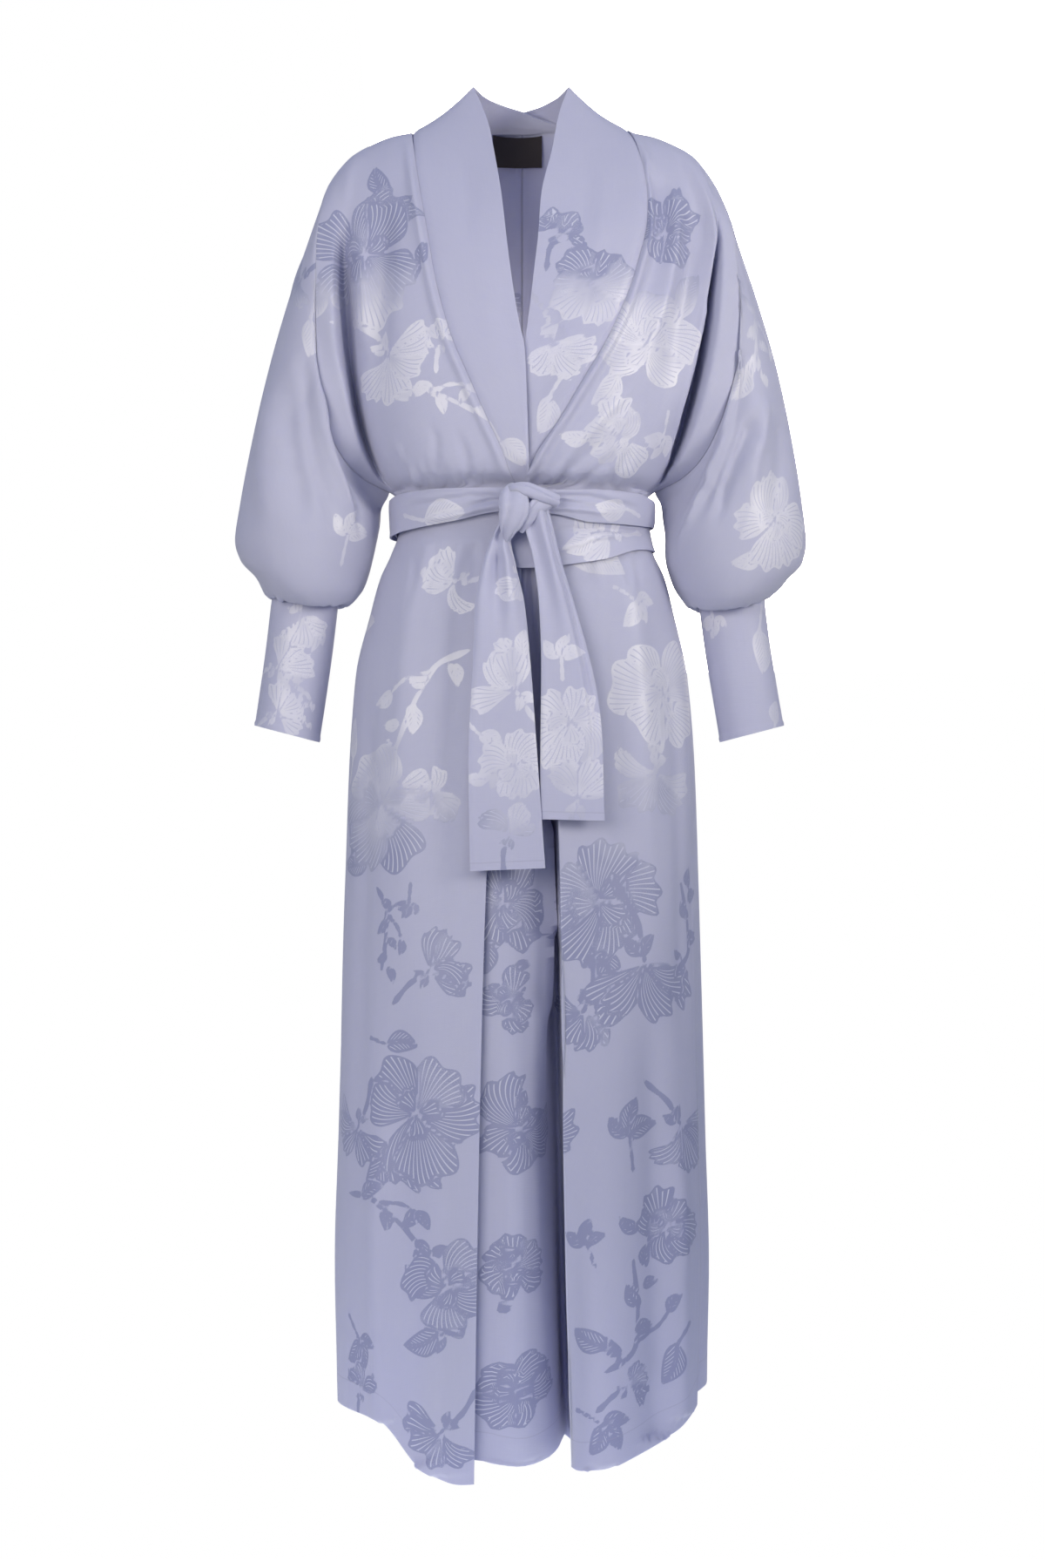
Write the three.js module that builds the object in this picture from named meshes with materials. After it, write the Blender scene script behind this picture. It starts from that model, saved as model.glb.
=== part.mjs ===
// A long belted kimono robe, standing as it is worn, with nobody inside it.
// Millimetres, +Z up, the front faces -Y, the wearer's left is +X. The origin is at the
// middle of the shoulder line, where a wearer carries the robe.
import * as THREE from "three";

/* ------------------------------ driving dimensions ------------------------------ */

const CLOTH = 1.5; // one cloth
const DOUBLE_CLOTH = 2; // neck band, cuffs and belt, which are cut double
const LABEL_CLOTH = 1;
const SEAM_GAP = 0.6; // left open between two sewn edges
const LAYER_GAP = 2; // between the belt and the cloth that it is tied over

const NECK_EDGE = { right: 119, left: 113 }; // band seam at the shoulder, from the middle
const SHOULDER_TIP = 212; // top of the armhole seam, from the middle
const BACK_NECK = { depth: 66, height: 32 }; // band seam at the centre back
const YOKE = -115; // below this level the bodice is cut by level sections
const UNDERARM = -372; // level of the underarm point
const HEM = -1412; // lowest level of the front hem

const WEARER = { right: -1, left: 1 }; // sign of X on each side

/* ----------------------------------- tables ------------------------------------- */
// In every table: z is a level, out the distance from the middle to the side, and fore
// and aft the distances to the front and to the back.

// Height of the shoulder line.
const RIDGE = [
  { out: 100, z: 27 },
  { out: 119, z: 17 },
  { out: 139, z: 13 },
  { out: 166, z: 2 },
  { out: 184, z: -9 },
  { out: 195, z: -21 },
  { out: 203, z: -32 },
  { out: 212, z: -47 },
];

// Level sections of the front bodice: the torso's rounded box (half, fore), the edge where
// the cloth rolls away from it, the valley beside the arm, the arm and the armhole seam.
const FRONT_BODICE = {
  right: [
    { z: -115, half: 190, fore: 92, rollOut: 180, rollFore: 50, valleyOut: 190, valleyFore: 40,
      armOut: 201, armFore: 52, seamOut: 219, seamFore: 48 },
    { z: -160, half: 186, fore: 105, rollOut: 177, rollFore: 55, valleyOut: 189, valleyFore: 30,
      armOut: 201, armFore: 64, seamOut: 219, seamFore: 58 },
    { z: -215, half: 182, fore: 113, rollOut: 173, rollFore: 56, valleyOut: 186, valleyFore: 22,
      armOut: 198, armFore: 70, seamOut: 218, seamFore: 62 },
    { z: -265, half: 178, fore: 118, rollOut: 169, rollFore: 56, valleyOut: 180, valleyFore: 18,
      armOut: 188, armFore: 70, seamOut: 216, seamFore: 64 },
    { z: -308, half: 172, fore: 120, rollOut: 162, rollFore: 52, valleyOut: 171, valleyFore: 16,
      armOut: 178, armFore: 60, seamOut: 206, seamFore: 60 },
    { z: -340, half: 162, fore: 118, rollOut: 153, rollFore: 44, valleyOut: 160, valleyFore: 15,
      armOut: 166, armFore: 42, seamOut: 190, seamFore: 46 },
    { z: -360, half: 151, fore: 113, rollOut: 144, rollFore: 32, valleyOut: 149, valleyFore: 13,
      armOut: 154, armFore: 20, seamOut: 169, seamFore: 24 },
    { z: -372, half: 139, fore: 94, rollOut: 131, rollFore: 27, valleyOut: 137, valleyFore: 12,
      armOut: 140, armFore: 5, seamOut: 143, seamFore: 0 },
  ],
  left: [
    { z: -115, half: 214, fore: 94, rollOut: 205, rollFore: 60, valleyOut: 207, valleyFore: 46,
      armOut: 214, armFore: 56, seamOut: 227, seamFore: 50 },
    { z: -160, half: 206, fore: 107, rollOut: 198, rollFore: 66, valleyOut: 199, valleyFore: 34,
      armOut: 212, armFore: 66, seamOut: 231, seamFore: 58 },
    { z: -215, half: 196, fore: 115, rollOut: 188, rollFore: 68, valleyOut: 190, valleyFore: 26,
      armOut: 206, armFore: 72, seamOut: 232, seamFore: 62 },
    { z: -265, half: 184, fore: 119, rollOut: 176, rollFore: 64, valleyOut: 181, valleyFore: 20,
      armOut: 196, armFore: 72, seamOut: 222, seamFore: 64 },
    { z: -308, half: 172, fore: 121, rollOut: 164, rollFore: 55, valleyOut: 171, valleyFore: 17,
      armOut: 184, armFore: 62, seamOut: 208, seamFore: 60 },
    { z: -340, half: 163, fore: 118, rollOut: 154, rollFore: 44, valleyOut: 160, valleyFore: 15,
      armOut: 169, armFore: 44, seamOut: 191, seamFore: 46 },
    { z: -360, half: 152, fore: 113, rollOut: 145, rollFore: 32, valleyOut: 150, valleyFore: 13,
      armOut: 155, armFore: 20, seamOut: 170, seamFore: 24 },
    { z: -372, half: 139, fore: 94, rollOut: 131, rollFore: 27, valleyOut: 137, valleyFore: 12,
      armOut: 140, armFore: 5, seamOut: 143, seamFore: 0 },
  ],
};

// The same for the back bodice, which hangs in softer folds.
const BACK_BODICE = [
  { z: -115, half: 190, aft: 88, rollOut: 180, rollAft: 54, valleyOut: 191, valleyAft: 49,
    armOut: 202, armAft: 52, seamOut: 220, seamAft: 46 },
  { z: -160, half: 186, aft: 94, rollOut: 177, rollAft: 56, valleyOut: 190, valleyAft: 44,
    armOut: 202, armAft: 59, seamOut: 221, seamAft: 54 },
  { z: -215, half: 182, aft: 98, rollOut: 173, rollAft: 57, valleyOut: 186, valleyAft: 38,
    armOut: 199, armAft: 65, seamOut: 220, seamAft: 59 },
  { z: -265, half: 178, aft: 100, rollOut: 168, rollAft: 56, valleyOut: 180, valleyAft: 32,
    armOut: 191, armAft: 64, seamOut: 216, seamAft: 60 },
  { z: -308, half: 172, aft: 100, rollOut: 161, rollAft: 50, valleyOut: 171, valleyAft: 26,
    armOut: 180, armAft: 56, seamOut: 206, seamAft: 56 },
  { z: -340, half: 162, aft: 97, rollOut: 152, rollAft: 40, valleyOut: 160, valleyAft: 20,
    armOut: 167, armAft: 40, seamOut: 190, seamAft: 45 },
  { z: -360, half: 151, aft: 92, rollOut: 144, rollAft: 28, valleyOut: 149, valleyAft: 14,
    armOut: 154, armAft: 20, seamOut: 169, seamAft: 24 },
  { z: -372, half: 139, aft: 80, rollOut: 132, rollAft: 24, valleyOut: 137, valleyAft: 11,
    armOut: 140, armAft: 5, seamOut: 143, seamAft: 0 },
];

// Level sections below the underarm; square 2 is an ellipse, more is boxier. The side seams
// stand seamRight and seamLeft in front of the widest point.
const TRUNK = [
  { z: -372, half: 139, fore: 94, aft: 80, square: 2.4, seamRight: 0, seamLeft: 0 },
  { z: -380, half: 135, fore: 91, aft: 78, square: 2.3, seamRight: 0, seamLeft: 0 },
  { z: -412, half: 133, fore: 89, aft: 76, square: 2.2, seamRight: 0, seamLeft: 4 },
  { z: -440, half: 142, fore: 94, aft: 81, square: 2.2, seamRight: 0, seamLeft: 8 },
  { z: -464, half: 153, fore: 99, aft: 88, square: 2.2, seamRight: 0, seamLeft: 12 },
  { z: -500, half: 163, fore: 106, aft: 99, square: 2.2, seamRight: 1, seamLeft: 16 },
  { z: -570, half: 179, fore: 112, aft: 112, square: 2.25, seamRight: 2, seamLeft: 24 },
  { z: -660, half: 186, fore: 117, aft: 117, square: 2.3, seamRight: 4, seamLeft: 32 },
  { z: -780, half: 190, fore: 121, aft: 118, square: 2.3, seamRight: 6, seamLeft: 40 },
  { z: -920, half: 194, fore: 125, aft: 119, square: 2.3, seamRight: 8, seamLeft: 46 },
  { z: -1060, half: 198, fore: 129, aft: 121, square: 2.3, seamRight: 10, seamLeft: 50 },
  { z: -1200, half: 202, fore: 132, aft: 124, square: 2.3, seamRight: 14, seamLeft: 54 },
  { z: -1300, half: 200, fore: 134, aft: 126, square: 2.3, seamRight: 18, seamLeft: 57 },
  { z: -1412, half: 198, fore: 136, aft: 128, square: 2.3, seamRight: 24, seamLeft: 60 },
];

// Front edge of each front: the band seam down to the waist, then the free edge.
const FRONT_EDGE = {
  right: [
    { z: -115, out: 98 },
    { z: -160, out: 90 },
    { z: -215, out: 75 },
    { z: -265, out: 54 },
    { z: -308, out: 35 },
    { z: -340, out: 20 },
    { z: -360, out: 13 },
    { z: -380, out: 4 },
    { z: -464, out: 1 },
    { z: -600, out: 17 },
    { z: -780, out: 37 },
    { z: -1135, out: 46 },
    { z: -1412, out: 50 },
  ],
  left: [
    { z: -115, out: 128 },
    { z: -160, out: 115 },
    { z: -215, out: 92 },
    { z: -265, out: 63 },
    { z: -308, out: 37 },
    { z: -340, out: 15 },
    { z: -360, out: 4 },
    { z: -372, out: -12 },
  ],
};

// Inner edge of each half of the neck band, with its distance to the front.
const BAND_EDGE = {
  right: [
    { z: 65.5, out: 52.5, fore: 4 },
    { z: 45, out: 44, fore: 14 },
    { z: 19, out: 35.5, fore: 28 },
    { z: -8, out: 30.5, fore: 43 },
    { z: -62, out: 22, fore: 72 },
    { z: -115, out: 16, fore: 92 },
    { z: -148, out: 12, fore: 101 },
    { z: -202, out: 3.5, fore: 111 },
    { z: -233, out: -2.7, fore: 115 },
    { z: -300, out: -5.5, fore: 120 },
    { z: -347, out: -7, fore: 117 },
    { z: -372, out: -8, fore: 94 },
  ],
  left: [
    { z: 65.5, out: 50.5, fore: 4 },
    { z: 38, out: 41, fore: 17 },
    { z: 14, out: 36, fore: 30 },
    { z: -8, out: 32.5, fore: 43 },
    { z: -62, out: 20.5, fore: 72 },
    { z: -115, out: 16.5, fore: 93 },
    { z: -140, out: 13.5, fore: 99 },
    { z: -181, out: 9, fore: 108 },
    { z: -227, out: 2.5, fore: 114 },
    { z: -265, out: -4, fore: 117 },
    { z: -308, out: -13, fore: 117 },
    { z: -340, out: -20, fore: 114 },
    { z: -372, out: -34, fore: 90 },
  ],
};

// The band round the back of the neck, from the shoulder to its end past the centre back, by
// turn from the centre back: its standing edge (out, aft, z), and how far its sewn edge stands
// off the neckline, outwards (lift) and upwards (rise). Behind the neck the left half passes
// outside the right half.
const BACK_BAND = {
  right: [
    { turn: 60, out: 39, aft: 23, z: 59.5, lift: 0, rise: 0 },
    { turn: 30, out: 20, aft: 38, z: 54.5, lift: 0, rise: 0 },
    { turn: 0, out: -1, aft: 46, z: 49.5, lift: 0, rise: 0 },
    { turn: -15, out: -20, aft: 48, z: 42.5, lift: 0, rise: 2.6 },
    { turn: -27, out: -35, aft: 50, z: 38.5, lift: 0, rise: 2.6 },
  ],
  left: [
    { turn: 60, out: 38, aft: 24, z: 59.5, lift: 0, rise: 0 },
    { turn: 50, out: 33, aft: 30, z: 58, lift: 1, rise: 2.4 },
    { turn: 30, out: 20, aft: 44, z: 54.5, lift: 5, rise: 3.4 },
    { turn: 0, out: -1, aft: 52, z: 49.5, lift: 5, rise: 2.6 },
    { turn: -15, out: -20, aft: 59, z: 43.5, lift: 5, rise: 2.6 },
    { turn: -30, out: -38, aft: 63, z: 38.5, lift: 5, rise: 2.6 },
  ],
};

// The deep pleat of the under front: the free edge under the other front, the middle crest,
// the place where the cloth turns back, the bottom of the pleat and the folded front edge.
// The columns ending in In say how far each lies behind the front's face.
const PLEAT = [
  { z: -372, edge: -12, crest: -5, crestIn: 4, turn: 0, turnIn: 4, deep: 7, deepIn: 4, fold: 14,
    foldIn: 2 },
  { z: -380, edge: -24, crest: -14, crestIn: 5, turn: -4, turnIn: 5, deep: 4, deepIn: 5,
    fold: 13, foldIn: 2 },
  { z: -436, edge: -28, crest: -16, crestIn: 6, turn: 0, turnIn: 7, deep: 8, deepIn: 10,
    fold: 16, foldIn: 4 },
  { z: -500, edge: -36, crest: -16, crestIn: 8, turn: 2, turnIn: 12, deep: 13, deepIn: 26,
    fold: 23, foldIn: 9 },
  { z: -640, edge: -48, crest: -18, crestIn: 9, turn: 4, turnIn: 17, deep: 24, deepIn: 48,
    fold: 34, foldIn: 13 },
  { z: -780, edge: -60, crest: -20, crestIn: 9, turn: 6, turnIn: 22, deep: 30, deepIn: 66,
    fold: 39, foldIn: 15 },
  { z: -930, edge: -72, crest: -16, crestIn: 9, turn: 15, turnIn: 28, deep: 35, deepIn: 88,
    fold: 41, foldIn: 16 },
  { z: -1090, edge: -82, crest: -12, crestIn: 9, turn: 23, turnIn: 34, deep: 39, deepIn: 108,
    fold: 43, foldIn: 16 },
  { z: -1290, edge: -96, crest: -8, crestIn: 10, turn: 35, turnIn: 40, deep: 45, deepIn: 126,
    fold: 47, foldIn: 16 },
  { z: -1412, edge: -105, crest: -5, crestIn: 12, turn: 41, turnIn: 45, deep: 50, deepIn: 138,
    fold: 51, foldIn: 17 },
];

// Hem levels, by distance from the middle.
const FRONT_HEM = {
  right: [
    { out: 40, z: -1408 },
    { out: 52, z: -1411 },
    { out: 66, z: -1412 },
    { out: 90, z: -1405 },
    { out: 110, z: -1396 },
    { out: 124, z: -1380 },
    { out: 136, z: -1363 },
    { out: 148, z: -1352 },
    { out: 182, z: -1347 },
    { out: 200, z: -1345 },
  ],
  left: [
    { out: -105, z: -1386 },
    { out: -46, z: -1388 },
    { out: -2, z: -1396 },
    { out: 30, z: -1389 },
    { out: 42, z: -1381 },
    { out: 52, z: -1393 },
    { out: 60, z: -1398 },
    { out: 84, z: -1397 },
    { out: 110, z: -1388 },
    { out: 138, z: -1377 },
    { out: 164, z: -1364 },
    { out: 178, z: -1352 },
    { out: 186, z: -1341 },
  ],
};
// Back hem, by turn from the centre back, on each side.
const BACK_HEM = {
  right: [
    { turn: 0, z: -1392 },
    { turn: 45, z: -1386 },
    { turn: 75, z: -1362 },
    { turn: 100, z: -1345 },
  ],
  left: [
    { turn: 0, z: -1392 },
    { turn: 45, z: -1384 },
    { turn: 70, z: -1352 },
    { turn: 85, z: -1325 },
    { turn: 105, z: -1328 },
    { turn: 118, z: -1341 },
  ],
};

// Rings of a bishop sleeve from the armhole to the cuff. Each ring runs through its outer
// point, its front and back points at depth fore and aft, and its inner point.
const SLEEVE = {
  right: [
    { outerOut: 212, outerZ: -47, midOut: 219, midZ: -222, fore: 63, aft: 60,
      innerOut: 143, innerZ: -372 },
    { outerOut: 230, outerZ: -98, midOut: 216, midZ: -262, fore: 72, aft: 67,
      innerOut: 150, innerZ: -386 },
    { outerOut: 252, outerZ: -163, midOut: 216, midZ: -300, fore: 78, aft: 73,
      innerOut: 152, innerZ: -394 },
    { outerOut: 274, outerZ: -240, midOut: 219, midZ: -336, fore: 82, aft: 77,
      innerOut: 153, innerZ: -402 },
    { outerOut: 291, outerZ: -315, midOut: 224, midZ: -372, fore: 84, aft: 80,
      innerOut: 155, innerZ: -412 },
    { outerOut: 303, outerZ: -380, midOut: 230, midZ: -408, fore: 84, aft: 80,
      innerOut: 158, innerZ: -426 },
    { outerOut: 309, outerZ: -423, midOut: 235, midZ: -436, fore: 82, aft: 78,
      innerOut: 162, innerZ: -443 },
    { outerOut: 303, outerZ: -445, midOut: 236, midZ: -460, fore: 78, aft: 73,
      innerOut: 166, innerZ: -460 },
    { outerOut: 286, outerZ: -464, midOut: 233, midZ: -482, fore: 69, aft: 65,
      innerOut: 171, innerZ: -477 },
    { outerOut: 276, outerZ: -482, midOut: 230, midZ: -496, fore: 49, aft: 46,
      innerOut: 188, innerZ: -493 },
    { outerOut: 270, outerZ: -486, midOut: 234, midZ: -486, fore: 34, aft: 34,
      innerOut: 198, innerZ: -486 },
  ],
  left: [
    { outerOut: 212, outerZ: -47, midOut: 226, midZ: -222, fore: 63, aft: 60,
      innerOut: 143, innerZ: -372 },
    { outerOut: 230, outerZ: -98, midOut: 221, midZ: -262, fore: 72, aft: 67,
      innerOut: 150, innerZ: -386 },
    { outerOut: 252, outerZ: -163, midOut: 220, midZ: -302, fore: 78, aft: 73,
      innerOut: 152, innerZ: -402 },
    { outerOut: 274, outerZ: -240, midOut: 221, midZ: -340, fore: 82, aft: 77,
      innerOut: 153, innerZ: -418 },
    { outerOut: 290, outerZ: -315, midOut: 224, midZ: -376, fore: 84, aft: 80,
      innerOut: 154, innerZ: -434 },
    { outerOut: 301, outerZ: -380, midOut: 229, midZ: -412, fore: 84, aft: 80,
      innerOut: 156, innerZ: -448 },
    { outerOut: 306, outerZ: -423, midOut: 232, midZ: -441, fore: 82, aft: 78,
      innerOut: 160, innerZ: -461 },
    { outerOut: 303, outerZ: -446, midOut: 233, midZ: -464, fore: 78, aft: 73,
      innerOut: 165, innerZ: -474 },
    { outerOut: 287, outerZ: -465, midOut: 231, midZ: -486, fore: 69, aft: 65,
      innerOut: 172, innerZ: -486 },
    { outerOut: 269, outerZ: -482, midOut: 227, midZ: -500, fore: 48, aft: 46,
      innerOut: 181, innerZ: -496 },
    { outerOut: 262, outerZ: -486, midOut: 226, midZ: -486, fore: 34, aft: 34,
      innerOut: 190, innerZ: -486 },
  ],
};

// Cuffs: level sections, each an ellipse about its own middle.
const CUFF = {
  right: [
    { z: -486, out: 234, half: 36, deep: 34 },
    { z: -540, out: 240, half: 35.5, deep: 33 },
    { z: -590, out: 247, half: 35, deep: 33 },
    { z: -632, out: 253.5, half: 34.5, deep: 33 },
  ],
  left: [
    { z: -486, out: 226, half: 36, deep: 34 },
    { z: -540, out: 233, half: 35.5, deep: 33 },
    { z: -590, out: 241, half: 35, deep: 33 },
    { z: -632, out: 248, half: 34.5, deep: 33 },
  ],
};
const CUFF_SLANT = 9; // the cuff's inner edge ends this much below its middle

// The belt's two turns round the waist: upper and lower edges by turn from the front, where
// a negative turn is on the wearer's right. Off is the distance from the cloth beneath.
const UPPER_TURN = [
  { turn: -180, top: -380, bottom: -424 },
  { turn: -135, top: -380, bottom: -423 },
  { turn: -90, top: -382, bottom: -421 },
  { turn: -60, top: -378, bottom: -417 },
  { turn: -30, top: -376, bottom: -410 },
  { turn: -4, top: -376, bottom: -400 },
  { turn: 14, top: -378, bottom: -404 },
  { turn: 30, top: -377, bottom: -411 },
  { turn: 60, top: -379, bottom: -412 },
  { turn: 90, top: -385, bottom: -411 },
  { turn: 135, top: -381, bottom: -416 },
  { turn: 180, top: -380, bottom: -424 },
];
const LOWER_TURN = [
  { turn: -180, top: -384, bottom: -426 },
  { turn: -90, top: -386, bottom: -418 },
  { turn: -30, top: -380, bottom: -405 },
  { turn: -10, top: -381, bottom: -400 },
  { turn: -1, top: -382, bottom: -460 },
  { turn: 30, top: -390, bottom: -451 },
  { turn: 60, top: -392, bottom: -437 },
  { turn: 90, top: -394, bottom: -436 },
  { turn: 135, top: -388, bottom: -430 },
  { turn: 180, top: -384, bottom: -426 },
];
const BELT_STEPS = 32;

// The knot: rounded sections of the belt wound on itself, from the top down.
const KNOT = [
  { z: -376, x: 2, half: 14, fore: 108, deep: 7 },
  { z: -380, x: -3, half: 21, fore: 110.5, deep: 10 },
  { z: -388, x: -8, half: 21, fore: 113.5, deep: 13 },
  { z: -400, x: -11, half: 19, fore: 115.5, deep: 15 },
  { z: -412, x: -14, half: 15, fore: 115, deep: 14 },
  { z: -422, x: -16, half: 10, fore: 113, deep: 11 },
  { z: -428, x: -17, half: 6, fore: 111.5, deep: 8 },
];

// Hanging ends of the belt: level sections from the knot down, left and right edges as x.
const TAIL = {
  right: [
    { z: -428.2, low: -31, high: -12, fore: 110, bow: 4 },
    { z: -460, low: -42, high: -6, fore: 116, bow: 8 },
    { z: -500, low: -49, high: 3, fore: 122, bow: 8 },
    { z: -560, low: -51, high: 9, fore: 128, bow: 5 },
    { z: -660, low: -55, high: 16, fore: 133, bow: 3 },
    { z: -776, low: -54, high: 24, fore: 137, bow: 2 },
  ],
  left: [
    { z: -410, low: 2, high: 30, fore: 114, bow: 5 },
    { z: -450, low: 11, high: 39, fore: 117, bow: 6 },
    { z: -500, low: 18, high: 51, fore: 122, bow: 5 },
    { z: -560, low: 22, high: 62, fore: 126, bow: 4 },
    { z: -650, low: 24, high: 76, fore: 130, bow: 3 },
    { z: -724, low: 25, high: 84, fore: 133, bow: 2 },
  ],
};

// The woven label, inside the back under the band seam.
const LABEL = { low: -32, high: 22, top: 27, bottom: -8, off: 1 };

const COLOUR = { cloth: 0xb9bfdc, label: 0x231a1c };

/* ----------------------------------- curves ------------------------------------- */

/** Cubic through (knots, values) that adds no bumps of its own, read at one place. */
function cubic(knots, values, at) {
  const last = knots.length - 1;
  const sign = knots[last] > knots[0] ? 1 : -1;
  let k = 0;
  while (k < last - 1 && sign * (at - knots[k + 1]) > 0) k += 1;
  const rise = (i) => (values[i + 1] - values[i]) / (knots[i + 1] - knots[i]);
  const slope = (i) => {
    if (i === 0) return rise(0);
    if (i === last) return rise(last - 1);
    const before = rise(i - 1);
    const after = rise(i);
    return before * after <= 0 ? 0 : (2 * before * after) / (before + after);
  };
  const span = knots[k + 1] - knots[k];
  const t = Math.min(1, Math.max(0, (at - knots[k]) / span));
  const u = 1 - t;
  return (
    u * u * (1 + 2 * t) * values[k] +
    t * t * (1 + 2 * u) * values[k + 1] +
    t * u * u * span * slope(k) -
    t * t * u * span * slope(k + 1)
  );
}

/** One named column of a table at a level, or along another named column. */
function read(table, column, at, key = "z") {
  return cubic(table.map((row) => row[key]), table.map((row) => row[column]), at);
}

/** Smooth line through control points [a, b], at u from 0 to 1 along them. */
function along(controls, u) {
  const knots = controls.map((_, i) => i / (controls.length - 1));
  return controls[0].map((_, axis) => cubic(knots, controls.map((c) => c[axis]), u));
}

const mix = (a, b, t) => a + (b - a) * t;
const ease = (t) => {
  const c = Math.min(1, Math.max(0, t));
  return c * c * (3 - 2 * c);
};
const radians = (degrees) => (degrees * Math.PI) / 180;

/** Distance to the front of a rounded box at `out` from its middle. */
function roundedBox(out, half, reach, square) {
  const share = Math.min(1, Math.abs(out) / half);
  return reach * Math.pow(1 - Math.pow(share, square), 1 / square);
}

/* --------------------------------- level sections ------------------------------- */

const BODICE_SQUARE = 2.5;
const SHARES = [0, 0.17, 0.34, 0.5, 0.64, 0.78, 0.89, 1]; // controls between edge and seam
// Columns of a panel, counted in spans between its controls.
const COLUMNS = [0, 1, 2, 3, 3.5, 4, 4.5, 5, 5.5, 6, 6.5, 7];
const PLEATED_COLUMNS = [
  0, 1, 2, 2.5, 3, 3.5, 4, 4.5, 5, 5.5, 6, 6.5, 7, 8, 9, 10, 10.5, 11, 11.5, 12, 12.5, 13,
];

/** Point [out, fore] of the trunk at a turn from the front; past 90 it is on the back. */
function trunkPoint(z, turn) {
  const half = read(TRUNK, "half", z);
  const power = 2 / read(TRUNK, "square", z);
  const sine = Math.sin(radians(turn));
  const cosine = Math.cos(radians(turn));
  const reach = read(TRUNK, cosine >= 0 ? "fore" : "aft", z);
  return [
    Math.sign(sine) * half * Math.pow(Math.abs(sine), power),
    Math.sign(cosine) * reach * Math.pow(Math.abs(cosine), power),
  ];
}

/** Turn from the front at which the trunk is `out` from the middle. */
function turnOfOut(z, out) {
  const share = Math.abs(out) / read(TRUNK, "half", z);
  const sine = Math.pow(Math.min(1, share), read(TRUNK, "square", z) / 2);
  return (Math.sign(out) * Math.asin(sine) * 180) / Math.PI;
}

/** Turn from the front of the side seam on one side. */
function seamTurn(side, z) {
  const fore = read(TRUNK, side === "right" ? "seamRight" : "seamLeft", z);
  const share = Math.pow(fore / read(TRUNK, "fore", z), read(TRUNK, "square", z) / 2);
  return (Math.acos(share) * 180) / Math.PI;
}

/** How far the under front and its band lie behind the upper ones, where they cross. */
function underlap(side, z, out) {
  if (side === "right") return 0;
  return 5 * ease((50 - out) / 40) * ease((-165 - z) / 50);
}

// Shares at which a front's controls stand between its edge and the roll, and along the
// shoulder. The left front has more of them, which spread out below into its pleat.
const TORSO_SHARES = {
  right: [0, 0.25, 0.5, 0.76],
  left: [0, 0.05, 0.1, 0.15, 0.2, 0.25, 0.31, 0.38, 0.58, 0.79],
};
const SHOULDER_SHARES = {
  right: [0, 0.14, 0.28, 0.43],
  left: [0, 0.03, 0.06, 0.09, 0.12, 0.15, 0.18, 0.22, 0.33, 0.44],
};

/** Controls [out, fore] of a front above the underarm, from its edge to the armhole. */
function frontBodice(side, z) {
  const table = FRONT_BODICE[side];
  const get = (column) => read(table, column, z);
  const edge = read(FRONT_EDGE[side], "out", z);
  const onTorso = (share) => {
    const out = mix(edge, get("rollOut"), share);
    const fore = roundedBox(out, get("half"), get("fore"), BODICE_SQUARE);
    return [out, fore - underlap(side, z, out)];
  };
  const shares = TORSO_SHARES[side];
  return [
    ...shares.map(onTorso),
    [get("rollOut"), get("rollFore")],
    [get("valleyOut"), get("valleyFore")],
    [get("armOut"), get("armFore")],
    [get("seamOut"), get("seamFore")],
  ];
}

/** Controls of a front below the underarm, from its free edge to the side seam. */
function frontSkirt(side, z) {
  const seam = seamTurn(side, z);
  const fan = (from, shares) => shares.map((share) => trunkPoint(z, mix(from, seam, share)));
  if (side === "right") return fan(turnOfOut(z, read(FRONT_EDGE.right, "out", z)), SHARES);
  const get = (column) => read(PLEAT, column, z);
  const behind = (out, inward) => [out, trunkPoint(z, turnOfOut(z, out))[1] - inward];
  const slot = 0.5 * ease((-380 - z) / 200);
  return [
    behind(get("edge"), 4.5 + get("crestIn") * 0.5),
    behind(mix(get("edge"), get("crest"), 0.55), get("crestIn") + 1),
    behind(get("crest"), get("crestIn")),
    behind(get("turn"), get("turnIn")),
    behind(get("deep") - 5 * slot, get("deepIn")),
    behind(get("deep") + 7 * slot, get("deepIn")),
    behind(get("fold") + 8 * slot, get("foldIn")),
    behind(get("fold"), 1),
    ...fan(turnOfOut(z, get("fold")), [0.25, 0.5, 0.74, 0.86, 0.93, 1]),
  ];
}

/** Controls of the back at one level, from the centre back to the armhole or side seam. */
function backSection(side, z) {
  if (z < UNDERARM) {
    const span = 180 - seamTurn(side, z);
    return SHARES.map((share) => trunkPoint(z, 180 - span * share));
  }
  const get = (column) => read(BACK_BODICE, column, z);
  const onTorso = (share) => {
    const out = get("rollOut") * share;
    return [out, -roundedBox(out, get("half"), get("aft"), BODICE_SQUARE)];
  };
  return [
    ...[0, 0.25, 0.5, 0.76].map(onTorso),
    [get("rollOut"), -get("rollAft")],
    [get("valleyOut"), -get("valleyAft")],
    [get("armOut"), -get("armAft")],
    [get("seamOut"), -get("seamAft")],
  ];
}

/* ----------------------------------- panels ------------------------------------- */
// A panel is a grid of points on its outer face: columns run along u from its front or
// centre edge to its side, rows run down from the shoulder.

const CROWN_ROWS = [0, 0.16, 0.38, 0.68]; // shares of the way from the shoulder to the yoke
const LEVELS = [
  -115, -160, -215, -265, -308, -340, -360, -372, -380, -412, -440, -464, -500, -570, -660,
  -780, -920, -1080, -1250,
];
const ARMHOLE_ROWS = CROWN_ROWS.length + 8; // rows from the shoulder to the underarm
const HEM_FROM = -920; // the rows follow the hem's curve from here down

const shoulderHeight = (out) => read(RIDGE, "z", out, "out");

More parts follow.
